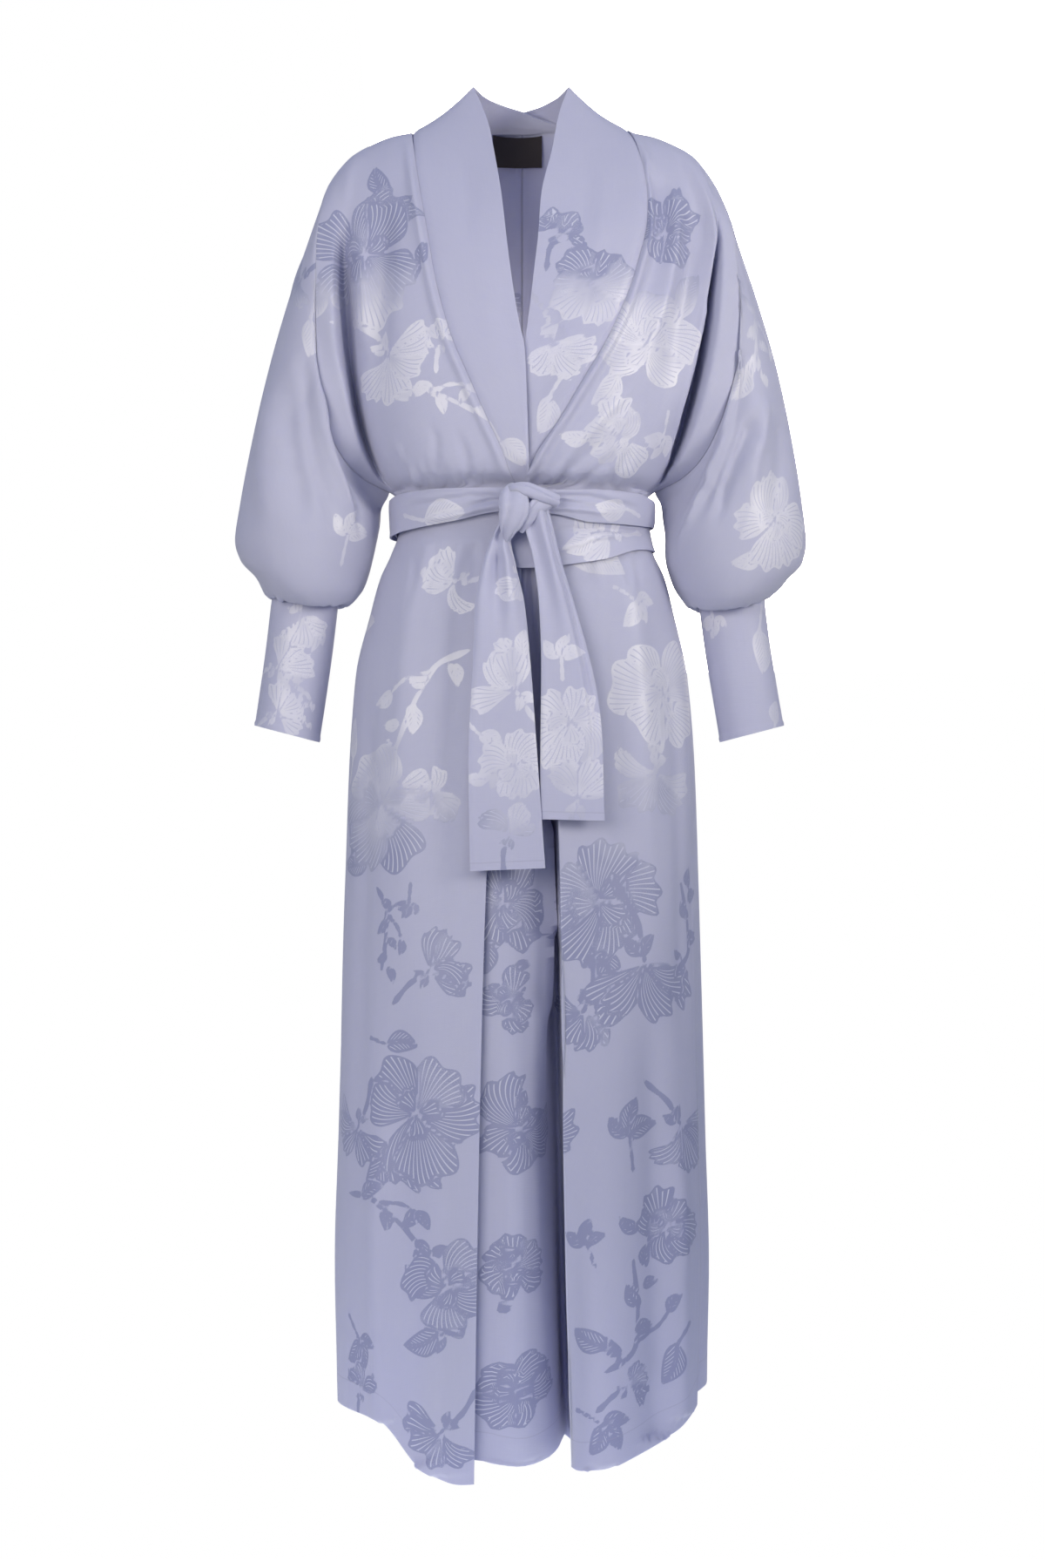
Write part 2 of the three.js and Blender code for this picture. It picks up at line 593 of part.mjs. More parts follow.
/** World point of an [out, fore] pair at a level. */
const place = (side, [out, fore], z) => new THREE.Vector3(WEARER[side] * out, -fore, z);

/** Bezier from the shoulder or neckline down to the yoke, meeting the bodice smoothly. */
function crown(top, lift, section, u, share) {
  const end = [...along(section(YOKE), u), YOKE];
  const below = along(section(YOKE - 20), u);
  const tangent = [(end[0] - below[0]) / 20, (end[1] - below[1]) / 20, 1];
  const reach = 0.36 * (top[2] - YOKE);
  const first = top.map((value, axis) => value + lift[axis]);
  const second = end.map((value, axis) => value + tangent[axis] * reach);
  const t = share;
  const s = 1 - t;
  const point = [0, 1, 2].map(
    (axis) =>
      s * s * s * top[axis] +
      3 * s * s * t * first[axis] +
      3 * s * t * t * second[axis] +
      t * t * t * end[axis],
  );
  return point;
}

/** Levels of the rows at one column: they bend from level down to the hem's own curve. */
function rowLevel(level, hem) {
  const t = (level - HEM_FROM) / (HEM - HEM_FROM);
  return t <= 0 ? level : mix(HEM_FROM, hem, t);
}

function frontPanel(side, columns) {
  const section = (z) => (z >= UNDERARM ? frontBodice(side, z) : frontSkirt(side, z));
  const count = section(YOKE).length;
  const edge = NECK_EDGE[side];
  const shares = [...SHOULDER_SHARES[side], 0.58, 0.7, 0.85, 1];
  const ridge = shares.map((share) => [mix(edge, SHOULDER_TIP, share)]);
  if (ridge.length !== count) throw new Error("the shoulder and the bodice differ in controls");
  return columns.map((u) => {
    const out = along(ridge, u)[0];
    const top = [out, 0, shoulderHeight(out)];
    const lean = side === "left" ? 12 * (1 - u) : 0;
    const rows = CROWN_ROWS.map((share) => {
      const p = crown(top, [lean, 30, -5], section, u, share);
      return place(side, p, p[2]);
    });
    const hem = read(FRONT_HEM[side], "z", along(section(HEM), u)[0], "out");
    for (const level of [...LEVELS, HEM]) {
      const z = rowLevel(level, hem);
      rows.push(place(side, along(section(z), u), z));
    }
    return rows;
  });
}

/** Point [out, -aft, z] of the back neckline, by turn from the centre back. */
function neckline(side, turn) {
  const sine = Math.sin(radians(turn));
  const cosine = Math.cos(radians(turn));
  const other = side === "right" ? "left" : "right";
  const edge = NECK_EDGE[turn < 0 ? other : side];
  const corner = shoulderHeight(edge);
  return [edge * sine, -BACK_NECK.depth * cosine, mix(corner, BACK_NECK.height, cosine * cosine)];
}

const NECK_SHARE = 3 / 7; // the share of the back's top edge that is neckline
const NECK_STEP = 30; // turn between the back's columns along the neckline

/** Point of the neckline as the back's own columns cut it, straight from one to the next. */
function neckSeam(side, turn) {
  const from = Math.floor(turn / NECK_STEP) * NECK_STEP;
  const share = (turn - from) / NECK_STEP;
  const start = neckline(side, from);
  const end = neckline(side, from + NECK_STEP);
  return start.map((value, axis) => mix(value, end[axis], share));
}

function backPanel(side, columns) {
  const section = (z) => backSection(side, z);
  return columns.map((u) => {
    const onNeck = u <= NECK_SHARE;
    const turn = onNeck ? (90 * u) / NECK_SHARE : 90;
    const edge = NECK_EDGE[side];
    const out = mix(edge, SHOULDER_TIP, Math.max(0, (u - NECK_SHARE) / (1 - NECK_SHARE)));
    const top = onNeck ? neckline(side, turn) : [out, 0, shoulderHeight(out)];
    const spread = ease(turn / 90);
    const lift = [0, mix(-6, -30, spread), mix(-34, -5, spread)];
    const rows = CROWN_ROWS.map((share) => {
      const p = crown(top, lift, section, u, share);
      return place(side, p, p[2]);
    });
    const [hemOut, hemFore] = along(section(HEM), u);
    const hemTurn = (Math.atan2(hemOut, -hemFore) * 180) / Math.PI;
    const hem = read(BACK_HEM[side], "z", hemTurn, "turn");
    for (const level of [...LEVELS, HEM]) {
      const z = rowLevel(level, hem);
      rows.push(place(side, along(section(z), u), z));
    }
    return rows;
  });
}

/* ---------------------------------- neck band ----------------------------------- */

const BAND_COLUMNS = [0, 0.35, 0.7, 1]; // shares of its width, from the seam

/** Strip of one band half, from its end behind the neck to the waist. */
function neckBand(side, panel) {
  const rows = [];
  const back = BACK_BAND[side].slice().reverse();
  for (const { turn, out, aft, z, lift, rise } of back) {
    const seam = neckSeam(side, turn);
    const start = place(side, [seam[0], seam[1] - lift], seam[2] + rise);
    rows.push([start, place(side, [out, -aft], z)]);
  }
  const edge = panel[0];
  const waistRows = ARMHOLE_ROWS - 1;
  for (let j = 0; j <= waistRows; j += 1) {
    const level = edge[j].z;
    const rise = ease((level - YOKE) / (shoulderHeight(NECK_EDGE[side]) - YOKE));
    const z = level + rise * (BAND_EDGE[side][0].z - shoulderHeight(NECK_EDGE[side]));
    const out = read(BAND_EDGE[side], "out", z);
    const fore = read(BAND_EDGE[side], "fore", z);
    rows.push([edge[j].clone(), place(side, [out, fore - underlap(side, z, out)], z)]);
  }
  return BAND_COLUMNS.map((share) =>
    rows.map(([seam, free], j) => {
      const point = seam.clone().lerp(free, share);
      const front = j >= back.length + CROWN_ROWS.length;
      const out = WEARER[side] * point.x;
      if (front) {
        const table = FRONT_BODICE[side];
        const half = read(table, "half", point.z);
        const fore = read(table, "fore", point.z);
        point.y = -(roundedBox(out, half, fore, BODICE_SQUARE) - underlap(side, point.z, out));
      } else {
        const hollow = 5 * Math.sin(Math.PI * share) * ease((j + 1) / 2);
        point.z -= hollow * ease((point.z - YOKE) / 60);
      }
      return point;
    }),
  );
}

/* ----------------------------------- sleeves ------------------------------------ */

/** Closed ring through four points, at an angle from its outer point over the front. */
function fourPointRing(row, angle) {
  const outer = [row.outerOut, 0, row.outerZ];
  const inner = [row.innerOut, 0, row.innerZ];
  const front = [row.midOut, row.fore, row.midZ];
  const back = [row.midOut, -row.aft, row.midZ];
  return [0, 1, 2].map((axis) => {
    const o = outer[axis];
    const i = inner[axis];
    const f = front[axis];
    const b = back[axis];
    const middle = (o + i + f + b) / 4;
    const bend = (o + i - f - b) / 4;
    const across = ((o - i) / 2) * Math.cos(angle) + ((f - b) / 2) * Math.sin(angle);
    return middle + across + bend * Math.cos(2 * angle);
  });
}

/** Angles round the ring of the armhole's points, by their share of its length. */
function armholeAngles(points) {
  const lengths = [0];
  for (let i = 1; i < points.length; i += 1) {
    lengths.push(lengths[i - 1] + points[i].distanceTo(points[i - 1]));
  }
  return lengths.map((length) => (Math.PI * length) / lengths[lengths.length - 1]);
}

/** Points round an armhole with their angles, from its top over the front and back. */
function armhole(front, back) {
  const foreSeam = front[front.length - 1].slice(0, ARMHOLE_ROWS);
  const aftSeam = back[back.length - 1].slice(0, ARMHOLE_ROWS);
  const foreAngles = armholeAngles(foreSeam);
  const aftAngles = armholeAngles(aftSeam).map((angle) => -angle);
  return [
    ...foreSeam.map((point, i) => ({ point, angle: foreAngles[i] })),
    ...aftSeam.slice(1, -1).map((point, i) => ({ point, angle: aftAngles[i + 1] })).reverse(),
  ];
}

function sleeve(side, loop) {
  const table = SLEEVE[side];
  return loop.map(({ point, angle }) =>
    table.map((row, j) => {
      if (j === 0) return point.clone();
      const [out, fore, z] = fourPointRing(row, angle);
      const [out0, fore0, z0] = fourPointRing(table[0], angle);
      const fade = Math.pow(Math.max(0, 1 - j / 6), 2);
      return place(
        side,
        [
          out + fade * (WEARER[side] * point.x - out0),
          fore + fade * (-point.y - fore0),
        ],
        z + fade * (point.z - z0),
      );
    }),
  );
}

function cuff(side, loop) {
  return loop.map(({ angle }) =>
    CUFF[side].map((row, j) => {
      const slant = (CUFF_SLANT * j) / (CUFF[side].length - 1);
      const out = row.out + row.half * Math.cos(angle);
      return place(side, [out, row.deep * Math.sin(angle)], row.z + slant * Math.cos(angle));
    }),
  );
}

/* ------------------------------------- belt ------------------------------------- */

/** Point [out, fore] of the trunk moved out by `off`, square to its section. */
function offTrunk(z, turn, off) {
  const [x0, y0] = trunkPoint(z, turn - 1);
  const [x, y] = trunkPoint(z, turn);
  const [x1, y1] = trunkPoint(z, turn + 1);
  const scale = off / Math.hypot(x1 - x0, y1 - y0);
  return [x - (y1 - y0) * scale, y + (x1 - x0) * scale];
}

/** A turn of the belt: a ring on the trunk's own points, moved out. */
function beltTurn(table, off) {
  return Array.from({ length: BELT_STEPS }, (_, i) => {
    const turn = (360 * i) / BELT_STEPS - 180;
    const top = read(table, "top", turn, "turn");
    const bottom = read(table, "bottom", turn, "turn");
    return [0, 0.5, 1].map((share) => {
      const z = mix(top, bottom, share);
      const [x, fore] = offTrunk(z, turn, off);
      return new THREE.Vector3(x, -fore, z);
    });
  });
}

function knot() {
  const steps = 16;
  const rings = KNOT.map((row) =>
    Array.from({ length: steps }, (_, i) => {
      const angle = (2 * Math.PI * i) / steps;
      return new THREE.Vector3(
        row.x + row.half * Math.cos(angle),
        -row.fore - row.deep * Math.sin(angle),
        row.z,
      );
    }),
  );
  return solidFromRings(rings);
}

function tail(side) {
  const steps = 4;
  return Array.from({ length: steps + 1 }, (_, i) =>
    TAIL[side].map((row) => {
      const share = i / steps;
      const bow = row.bow * Math.sin(Math.PI * share);
      return new THREE.Vector3(mix(row.low, row.high, share), -row.fore - bow, row.z);
    }),
  );
}

/** The label follows the back's inner face, moved in. */
function label() {
  const across = [0, 0.5, 1];
  const down = [0, 0.5, 1];
  return across.map((u) =>
    down.map((v) => {
      const x = mix(LABEL.low, LABEL.high, u);
      const z = mix(LABEL.top, LABEL.bottom, v);
      const [, fore, height] = neckline("right", (x * 90) / 150);
      const fall = (height - z) / (height - YOKE);
      return new THREE.Vector3(x, -fore + 6 * fall - CLOTH - LABEL.off, z);
    }),
  );
}

/* ------------------------------------ solids ------------------------------------ */

/** Outward direction at each grid point; turned is -1 where the columns run backwards. */
function directions(grid, ring, turned) {
  const last = grid.length - 1;
  return grid.map((column, i) =>
    column.map((point, j) => {
      const before = ring ? grid[(i + last) % (last + 1)][j] : grid[Math.max(0, i - 1)][j];
      const after = ring ? grid[(i + 1) % (last + 1)][j] : grid[Math.min(last, i + 1)][j];
      const above = column[Math.max(0, j - 1)];
      const below = column[Math.min(column.length - 1, j + 1)];
      const across = after.clone().sub(before);
      const down = below.clone().sub(above);
      return across.cross(down).multiplyScalar(turned).normalize();
    }),
  );
}

const spot = (point) => [point.x, point.y, point.z].map((v) => Math.round(v * 50)).join(" ");

/**
 * Sewn edges share one direction, so that their end faces stay parallel. The shoulder seam
 * lies in the plane between front and back, and its end faces stand in that plane.
 */
function shareSeamDirections(pieces) {
  const shared = new Map();
  for (const { grid, normals } of pieces) {
    grid.forEach((column, i) =>
      column.forEach((point, j) => {
        const key = spot(point);
        if (!shared.has(key)) shared.set(key, new THREE.Vector3());
        shared.get(key).add(normals[i][j]);
      }),
    );
  }
  for (const { grid, normals } of pieces) {
    grid.forEach((column, i) =>
      column.forEach((point, j) => {
        const sum = shared.get(spot(point));
        if (sum.length() > 0.3) normals[i][j] = sum.clone().normalize();
        if (j === 0 && Math.abs(point.y) < 0.01) normals[i][j].setY(0).normalize();
      }),
    );
  }
}

/** Draws the four edges of a grid back by half a seam gap, along the cloth. */
function openSeams(grid, ring) {
  const gap = SEAM_GAP / 2;
  const towards = (from, to) => from.clone().add(to.clone().sub(from).setLength(gap));
  const rows = grid[0].length - 1;
  const columns = grid.length - 1;
  return grid.map((column, i) =>
    column.map((point, j) => {
      let moved = point.clone();
      if (!ring && i === 0) moved = towards(moved, grid[1][j]);
      if (!ring && i === columns) moved = towards(moved, grid[columns - 1][j]);
      if (j === 0) moved = towards(moved, column[1]);
      if (j === rows) moved = towards(moved, column[rows - 1]);
      return moved;
    }),
  );
}

/** Closed wall on a grid of outer points, its other face `wall` further in. */
function wallGeometry({ grid, normals, wall, ring, turned }) {
  const outer = openSeams(grid, ring);
  const columns = outer.length;
  const rows = outer[0].length;
  const vertices = [];
  const put = (point) => vertices.push(point.x, point.y, point.z);
  outer.forEach((column) => column.forEach(put));
  outer.forEach((column, i) =>
    column.forEach((point, j) => put(point.clone().addScaledVector(normals[i][j], -wall))),
  );
  const inner = columns * rows;
  const id = (i, j) => (i % columns) * rows + j;
  const faces = [];
  const quad = (a, b, c, d) => {
    if (turned > 0) faces.push(a, b, c, a, c, d);
    else faces.push(a, c, b, a, d, c);
  };
  // An end face is split from its higher outer corner, so that sewn edges match.
  const endFace = (outer1, inner1, inner2, outer2) => {
    const fall = vertices[3 * outer1 + 2] - vertices[3 * outer2 + 2];
    const across = vertices[3 * outer1] - vertices[3 * outer2];
    const first = Math.abs(fall) > 1 ? fall > 0 : across > 0;
    if (first) quad(outer1, inner1, inner2, outer2);
    else quad(outer2, outer1, inner1, inner2);
  };
  const spans = ring ? columns : columns - 1;
  for (let i = 0; i < spans; i += 1) {
    for (let j = 0; j < rows - 1; j += 1) {
      const [a, b, c, d] = [id(i, j), id(i + 1, j), id(i + 1, j + 1), id(i, j + 1)];
      quad(a, b, c, d);
      quad(inner + a, inner + d, inner + c, inner + b);
    }
    endFace(id(i, 0), inner + id(i, 0), inner + id(i + 1, 0), id(i + 1, 0));
    const end = rows - 1;
    endFace(id(i + 1, end), inner + id(i + 1, end), inner + id(i, end), id(i, end));
  }
  if (!ring) {
    const side = columns - 1;
    for (let j = 0; j < rows - 1; j += 1) {
      endFace(id(0, j + 1), inner + id(0, j + 1), inner + id(0, j), id(0, j));
      endFace(id(side, j), inner + id(side, j), inner + id(side, j + 1), id(side, j + 1));
    }
  }
  const geometry = new THREE.BufferGeometry();
  geometry.setAttribute("position", new THREE.Float32BufferAttribute(vertices, 3));
  geometry.setIndex(faces);
  return geometry;
}

/** Closed solid through rings of points, with a flat cap at each end. */
function solidFromRings(rings) {
  const steps = rings[0].length;
  const vertices = [];
  rings.flat().forEach((point) => vertices.push(point.x, point.y, point.z));
  const faces = [];
  for (let k = 0; k < rings.length - 1; k += 1) {
    for (let i = 0; i < steps; i += 1) {
      const next = (i + 1) % steps;
      const above = k * steps;
      const below = above + steps;
      faces.push(above + i, above + next, below + next, above + i, below + next, below + i);
    }
  }
  const lastRing = (rings.length - 1) * steps;
  for (let i = 1; i < steps - 1; i += 1) {
    faces.push(0, i + 1, i);
    faces.push(lastRing, lastRing + i, lastRing + i + 1);
  }
  const geometry = new THREE.BufferGeometry();
  geometry.setAttribute("position", new THREE.Float32BufferAttribute(vertices, 3));
  geometry.setIndex(faces);
  return geometry;
}

/* ----------------------------------- assembly ----------------------------------- */

const shareOfLast = (values) => values.map((value) => value / values[values.length - 1]);

function finish(colour, roughness) {
  return new THREE.MeshStandardMaterial({
    color: colour,
    roughness,
    metalness: 0,
    side: THREE.DoubleSide,
  });
}

function build() {
  const cloth = finish(COLOUR.cloth, 0.55);
  const labelCloth = finish(COLOUR.label, 0.7);
  const pieces = [];
  const piece = (name, grid, options = {}) => {
    const { wall = CLOTH, ring = false, turned = 1, material = cloth } = options;
    const normals = directions(grid, ring, turned);
    pieces.push({ name, grid, wall, ring, turned, material, normals });
    return grid;
  };

  for (const side of ["right", "left"]) {
    const hand = WEARER[side];
    const frontColumns = shareOfLast(side === "right" ? COLUMNS : PLEATED_COLUMNS);
    const front = piece(`front_${side}`, frontPanel(side, frontColumns), { turned: -hand });
    const back = piece(`back_${side}`, backPanel(side, shareOfLast(COLUMNS)), { turned: hand });
    piece(`neck_band_${side}`, neckBand(side, front), { wall: DOUBLE_CLOTH, turned: hand });
    const loop = armhole(front, back);
    piece(`sleeve_${side}`, sleeve(side, loop), { ring: true, turned: hand });
    piece(`cuff_${side}`, cuff(side, loop), { wall: DOUBLE_CLOTH, ring: true, turned: hand });
  }
  shareSeamDirections(pieces);

  const lowerOff = LAYER_GAP + DOUBLE_CLOTH;
  const belt = { wall: DOUBLE_CLOTH, turned: -1 };
  piece("belt_lower_turn", beltTurn(LOWER_TURN, lowerOff), { ...belt, ring: true });
  piece("belt_upper_turn", beltTurn(UPPER_TURN, 2 * lowerOff + 0.4), { ...belt, ring: true });
  piece("belt_tail_right", tail("right"), belt);
  piece("belt_tail_left", tail("left"), belt);
  piece("neck_label", label(), { wall: LABEL_CLOTH, material: labelCloth });

  const robe = new THREE.Group();
  for (const item of pieces) {
    const mesh = new THREE.Mesh(wallGeometry(item), item.material);
    mesh.name = item.name;
    robe.add(mesh);
  }
  const knotMesh = new THREE.Mesh(knot(), cloth);
  knotMesh.name = "belt_knot";
  robe.add(knotMesh);
  return robe;
}

export default build();
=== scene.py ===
"""A long belted kimono robe of pale flowered jacquard, dressed on its fixed frame.

Shapes are worked out in millimetres, +Z up, the front facing -Y and the wearer's left at
+X. The meshes are made in metres in the same frame.
"""

import logging
import math
import sys
from collections.abc import Callable
from dataclasses import dataclass, field, replace
from enum import Enum

import bpy
import numpy as np
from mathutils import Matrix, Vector

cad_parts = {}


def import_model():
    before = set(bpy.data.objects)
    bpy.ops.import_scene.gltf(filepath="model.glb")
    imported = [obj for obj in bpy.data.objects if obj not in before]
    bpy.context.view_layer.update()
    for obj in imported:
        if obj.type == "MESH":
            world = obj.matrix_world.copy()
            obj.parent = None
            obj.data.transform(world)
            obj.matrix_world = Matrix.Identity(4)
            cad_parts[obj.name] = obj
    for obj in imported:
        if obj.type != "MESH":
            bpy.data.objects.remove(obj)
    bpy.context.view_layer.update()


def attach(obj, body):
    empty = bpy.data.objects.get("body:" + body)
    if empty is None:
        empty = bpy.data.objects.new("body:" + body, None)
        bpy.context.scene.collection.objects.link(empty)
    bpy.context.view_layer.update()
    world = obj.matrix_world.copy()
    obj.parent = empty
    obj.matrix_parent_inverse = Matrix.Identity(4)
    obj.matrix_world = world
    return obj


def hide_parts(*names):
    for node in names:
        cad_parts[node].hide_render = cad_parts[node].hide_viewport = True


LOG = logging.getLogger("robe")
Array = np.ndarray
Point = tuple[float, float, float]
Route = tuple[tuple[float, float], ...]

MM = 0.001
BODY = "root"
CLOTH = 1.5
DOUBLE_CLOTH = 2.0
LABEL_CLOTH = 1.0
LAYER_GAP = 2.0
SHARP_ANGLE = 68

NECK_EDGE = {-1: 119, 1: 113}
SHOULDER_TIP = 212
BACK_NECK_DEPTH = 66
BACK_NECK_HEIGHT = 32
YOKE = -115
UNDERARM = -372
HEM = -1412
HEM_FROM = -920
COLLAR_TOP = 65.5
# Top and bottom of the band of height in which the satin flowers get painted sheen.
PAINTED_SHEEN_FROM = -118
PAINTED_SHEEN_TO = -820
FAR = 500.0
NO_FIGURE = -60.0
BODICE_SQUARE = 2.5
NECK_SHARE = 3 / 7
CUFF_SLANT = 9


class Side(Enum):
    """The wearer's right and left, with the sign of X on each."""

    RIGHT = -1
    LEFT = 1

    @property
    def word(self) -> str:
        """The side's name as it stands in piece names."""
        return self.name.lower()


# ------------------------------------ curves ------------------------------------------


def slopes(rise: Array) -> Array:
    """Slopes at the knots of a curve that adds no bumps of its own.

    Args:
        rise: Slope of each span, along the first axis.

    Returns:
        One slope more than there are spans.
    """
    product = rise[:-1] * rise[1:]
    total = np.where(product > 0, rise[:-1] + rise[1:], 1)
    inner = np.where(product > 0, 2 * product / total, 0)
    return np.concatenate([rise[:1], inner, rise[-1:]])


def curve(knots: Array, values: Array, at: Array) -> Array:
    """Smooth curve through (knots, values), read at many places.

    Args:
        knots: Places of the values, rising or falling.
        values: One value at each knot.
        at: Places to read, of any shape.

    Returns:
        Values of the shape of `at`.
    """
    x, y = np.asarray(knots, float), np.asarray(values, float)
    if x[-1] < x[0]:
        x, y = x[::-1], y[::-1]
    at = np.asarray(at, float)
    slope = slopes(np.diff(y) / np.diff(x))
    k = np.clip(np.searchsorted(x, at) - 1, 0, len(x) - 2)
    span = x[k + 1] - x[k]
    t = np.clip((at - x[k]) / span, 0, 1)
    u = 1 - t
    ends = u * u * (1 + 2 * t) * y[k] + t * t * (1 + 2 * u) * y[k + 1]
    return ends + t * u * span * (u * slope[k] - t * slope[k + 1])


def along(controls: Array, u: Array) -> Array:
    """Smooth lines through stacked control points, one line for each grid column.

    Args:
        controls: Control points, (count, columns, rows, axes).
        u: Share from 0 to 1 of the way along the controls, one for each column.

    Returns:
        Points, (columns, rows, axes).
    """
    spans = len(controls) - 1
    slope = slopes(np.diff(controls, axis=0))
    k = np.clip((u * spans).astype(int), 0, spans - 1)
    t = np.clip(u * spans - k, 0, 1)[:, None, None]
    s = 1 - t
    columns = np.arange(len(u))
    start, end = controls[k, columns], controls[k + 1, columns]
    lean = s * slope[k, columns] - t * slope[k + 1, columns]
    return s * s * (1 + 2 * t) * start + t * t * (1 + 2 * s) * end + t * s * lean


def mix(a: Array, b: Array, t: Array) -> Array:
    """Straight blend from a to b."""
    return a + (b - a) * t


def ease(t: Array) -> Array:
    """Smooth step from 0 to 1, flat outside."""
    c = np.clip(t, 0, 1)
    return c * c * (3 - 2 * c)


def unit(vectors: Array) -> Array:
    """Vectors at length one."""
    return vectors / np.maximum(np.linalg.norm(vectors, axis=-1, keepdims=True), 1e-9)


@dataclass(frozen=True)
class Table:
    """Rows of sizes with named columns, read smoothly between the rows."""

    columns: str
    rows: tuple[tuple[float, ...], ...]

    def column(self, name: str) -> Array:
        """All values of one column."""
        place = self.columns.split().index(name)
        return np.array([row[place] for row in self.rows], float)

    def read(self, name: str, at: Array, key: str = "") -> Array:
        """One column at places along the key column, the first unless named."""
        return curve(self.column(key or self.columns.split()[0]), self.column(name), at)

    def step(self, name: str, at: Array) -> Array:
        """One column by row number, which need not be whole."""
        values = self.column(name)
        return curve(np.arange(len(values)), values, at)


# ------------------------------------ tables ------------------------------------------
# z is a level, out the distance from the middle to the side, and fore and aft the
# distances to the front and the back.

RIDGE = Table(
    "out z",
    ((100, 27), (119, 17), (139, 13), (166, 2), (184, -9), (195, -21), (203, -32), (212, -47)),
)

BODICE_COLUMNS = "z half fore rollOut rollFore valleyOut valleyFore armOut armFore seamOut seamFore"
FRONT_BODICE = {
    -1: Table(
        BODICE_COLUMNS,
        (
            (-115, 190, 92, 180, 50, 190, 40, 201, 52, 219, 48),
            (-160, 186, 105, 177, 55, 189, 30, 201, 64, 219, 58),
            (-215, 182, 113, 173, 56, 186, 22, 198, 70, 218, 62),
            (-265, 178, 118, 169, 56, 180, 18, 188, 70, 216, 64),
            (-308, 172, 120, 162, 52, 171, 16, 178, 60, 206, 60),
            (-340, 162, 118, 153, 44, 160, 15, 166, 42, 190, 46),
            (-360, 151, 113, 144, 32, 149, 13, 154, 20, 169, 24),
            (-372, 139, 94, 131, 27, 137, 12, 140, 5, 143, 0),
        ),
    ),
    1: Table(
        BODICE_COLUMNS,
        (
            (-115, 214, 94, 205, 60, 207, 46, 214, 56, 227, 50),
            (-160, 206, 107, 198, 66, 199, 34, 212, 66, 231, 58),
            (-215, 196, 115, 188, 68, 190, 26, 206, 72, 232, 62),
            (-265, 184, 119, 176, 64, 181, 20, 196, 72, 222, 64),
            (-308, 172, 121, 164, 55, 171, 17, 184, 62, 208, 60),
            (-340, 163, 118, 154, 44, 160, 15, 169, 44, 191, 46),
            (-360, 152, 113, 145, 32, 150, 13, 155, 20, 170, 24),
            (-372, 139, 94, 131, 27, 137, 12, 140, 5, 143, 0),
        ),
    ),
}
BACK_BODICE = Table(
    "z half aft rollOut rollAft valleyOut valleyAft armOut armAft seamOut seamAft",
    (
        (-115, 190, 88, 180, 54, 191, 49, 202, 52, 220, 46),
        (-160, 186, 94, 177, 56, 190, 44, 202, 59, 221, 54),
        (-215, 182, 98, 173, 57, 186, 38, 199, 65, 220, 59),
        (-265, 178, 100, 168, 56, 180, 32, 191, 64, 216, 60),
        (-308, 172, 100, 161, 50, 171, 26, 180, 56, 206, 56),
        (-340, 162, 97, 152, 40, 160, 20, 167, 40, 190, 45),
        (-360, 151, 92, 144, 28, 149, 14, 154, 20, 169, 24),
        (-372, 139, 80, 132, 24, 137, 11, 140, 5, 143, 0),
    ),
)
TRUNK = Table(
    "z half fore aft square seamRight seamLeft",
    (
        (-372, 139, 94, 80, 2.4, 0, 0),
        (-380, 135, 91, 78, 2.3, 0, 0),
        (-412, 133, 89, 76, 2.2, 0, 4),
        (-440, 142, 94, 81, 2.2, 0, 8),
        (-464, 153, 99, 88, 2.2, 0, 12),
        (-500, 163, 106, 99, 2.2, 1, 16),
        (-570, 179, 112, 112, 2.25, 2, 24),
        (-660, 186, 117, 117, 2.3, 4, 32),
        (-780, 190, 121, 118, 2.3, 6, 40),
        (-920, 194, 125, 119, 2.3, 8, 46),
        (-1060, 198, 129, 121, 2.3, 10, 50),
        (-1200, 202, 132, 124, 2.3, 14, 54),
        (-1300, 200, 134, 126, 2.3, 18, 57),
        (-1412, 198, 136, 128, 2.3, 24, 60),
    ),
)
FRONT_EDGE = {
    -1: Table(
        "z out",
        (
            (-115, 98), (-160, 90), (-215, 75), (-265, 54), (-308, 35), (-340, 20), (-360, 13),
            (-380, 4), (-464, 1), (-600, 17), (-780, 37), (-1135, 46), (-1412, 50),
        ),
    ),
    1: Table(
        "z out",
        (
            (-115, 128), (-160, 115), (-215, 92), (-265, 63), (-308, 37), (-340, 15),
            (-360, 4), (-372, -12),
        ),
    ),
}
BAND_EDGE = {
    -1: Table(
        "z out fore",
        (
            (65.5, 52.5, 4), (45, 44, 14), (19, 35.5, 28), (-8, 30.5, 43), (-62, 22, 72),
            (-115, 16, 92), (-148, 12, 101), (-202, 3.5, 111), (-233, -2.7, 115),
            (-300, -5.5, 120), (-347, -7, 117), (-372, -8, 94),
        ),
    ),
    1: Table(
        "z out fore",
        (
            (65.5, 50.5, 4), (38, 41, 17), (14, 36, 30), (-8, 32.5, 43), (-62, 20.5, 72),
            (-115, 16.5, 93), (-140, 13.5, 99), (-181, 9, 108), (-227, 2.5, 114),
            (-265, -4, 117), (-308, -13, 117), (-340, -20, 114), (-372, -34, 90),
        ),
    ),
}
BACK_BAND = {
    -1: Table(
        "turn out aft z lift rise",
        (
            (-27, -35, 50, 38.5, 0, 2.6), (-15, -20, 48, 42.5, 0, 2.6), (0, -1, 46, 49.5, 0, 0),
            (30, 20, 38, 54.5, 0, 0), (60, 39, 23, 59.5, 0, 0),
        ),
    ),
    1: Table(
        "turn out aft z lift rise",
        (
            (-30, -38, 63, 38.5, 5, 2.6), (-15, -20, 59, 43.5, 5, 2.6), (0, -1, 52, 49.5, 5, 2.6),
            (30, 20, 44, 54.5, 5, 3.4), (50, 33, 30, 58, 1, 2.4), (60, 38, 24, 59.5, 0, 0),
        ),
    ),
}
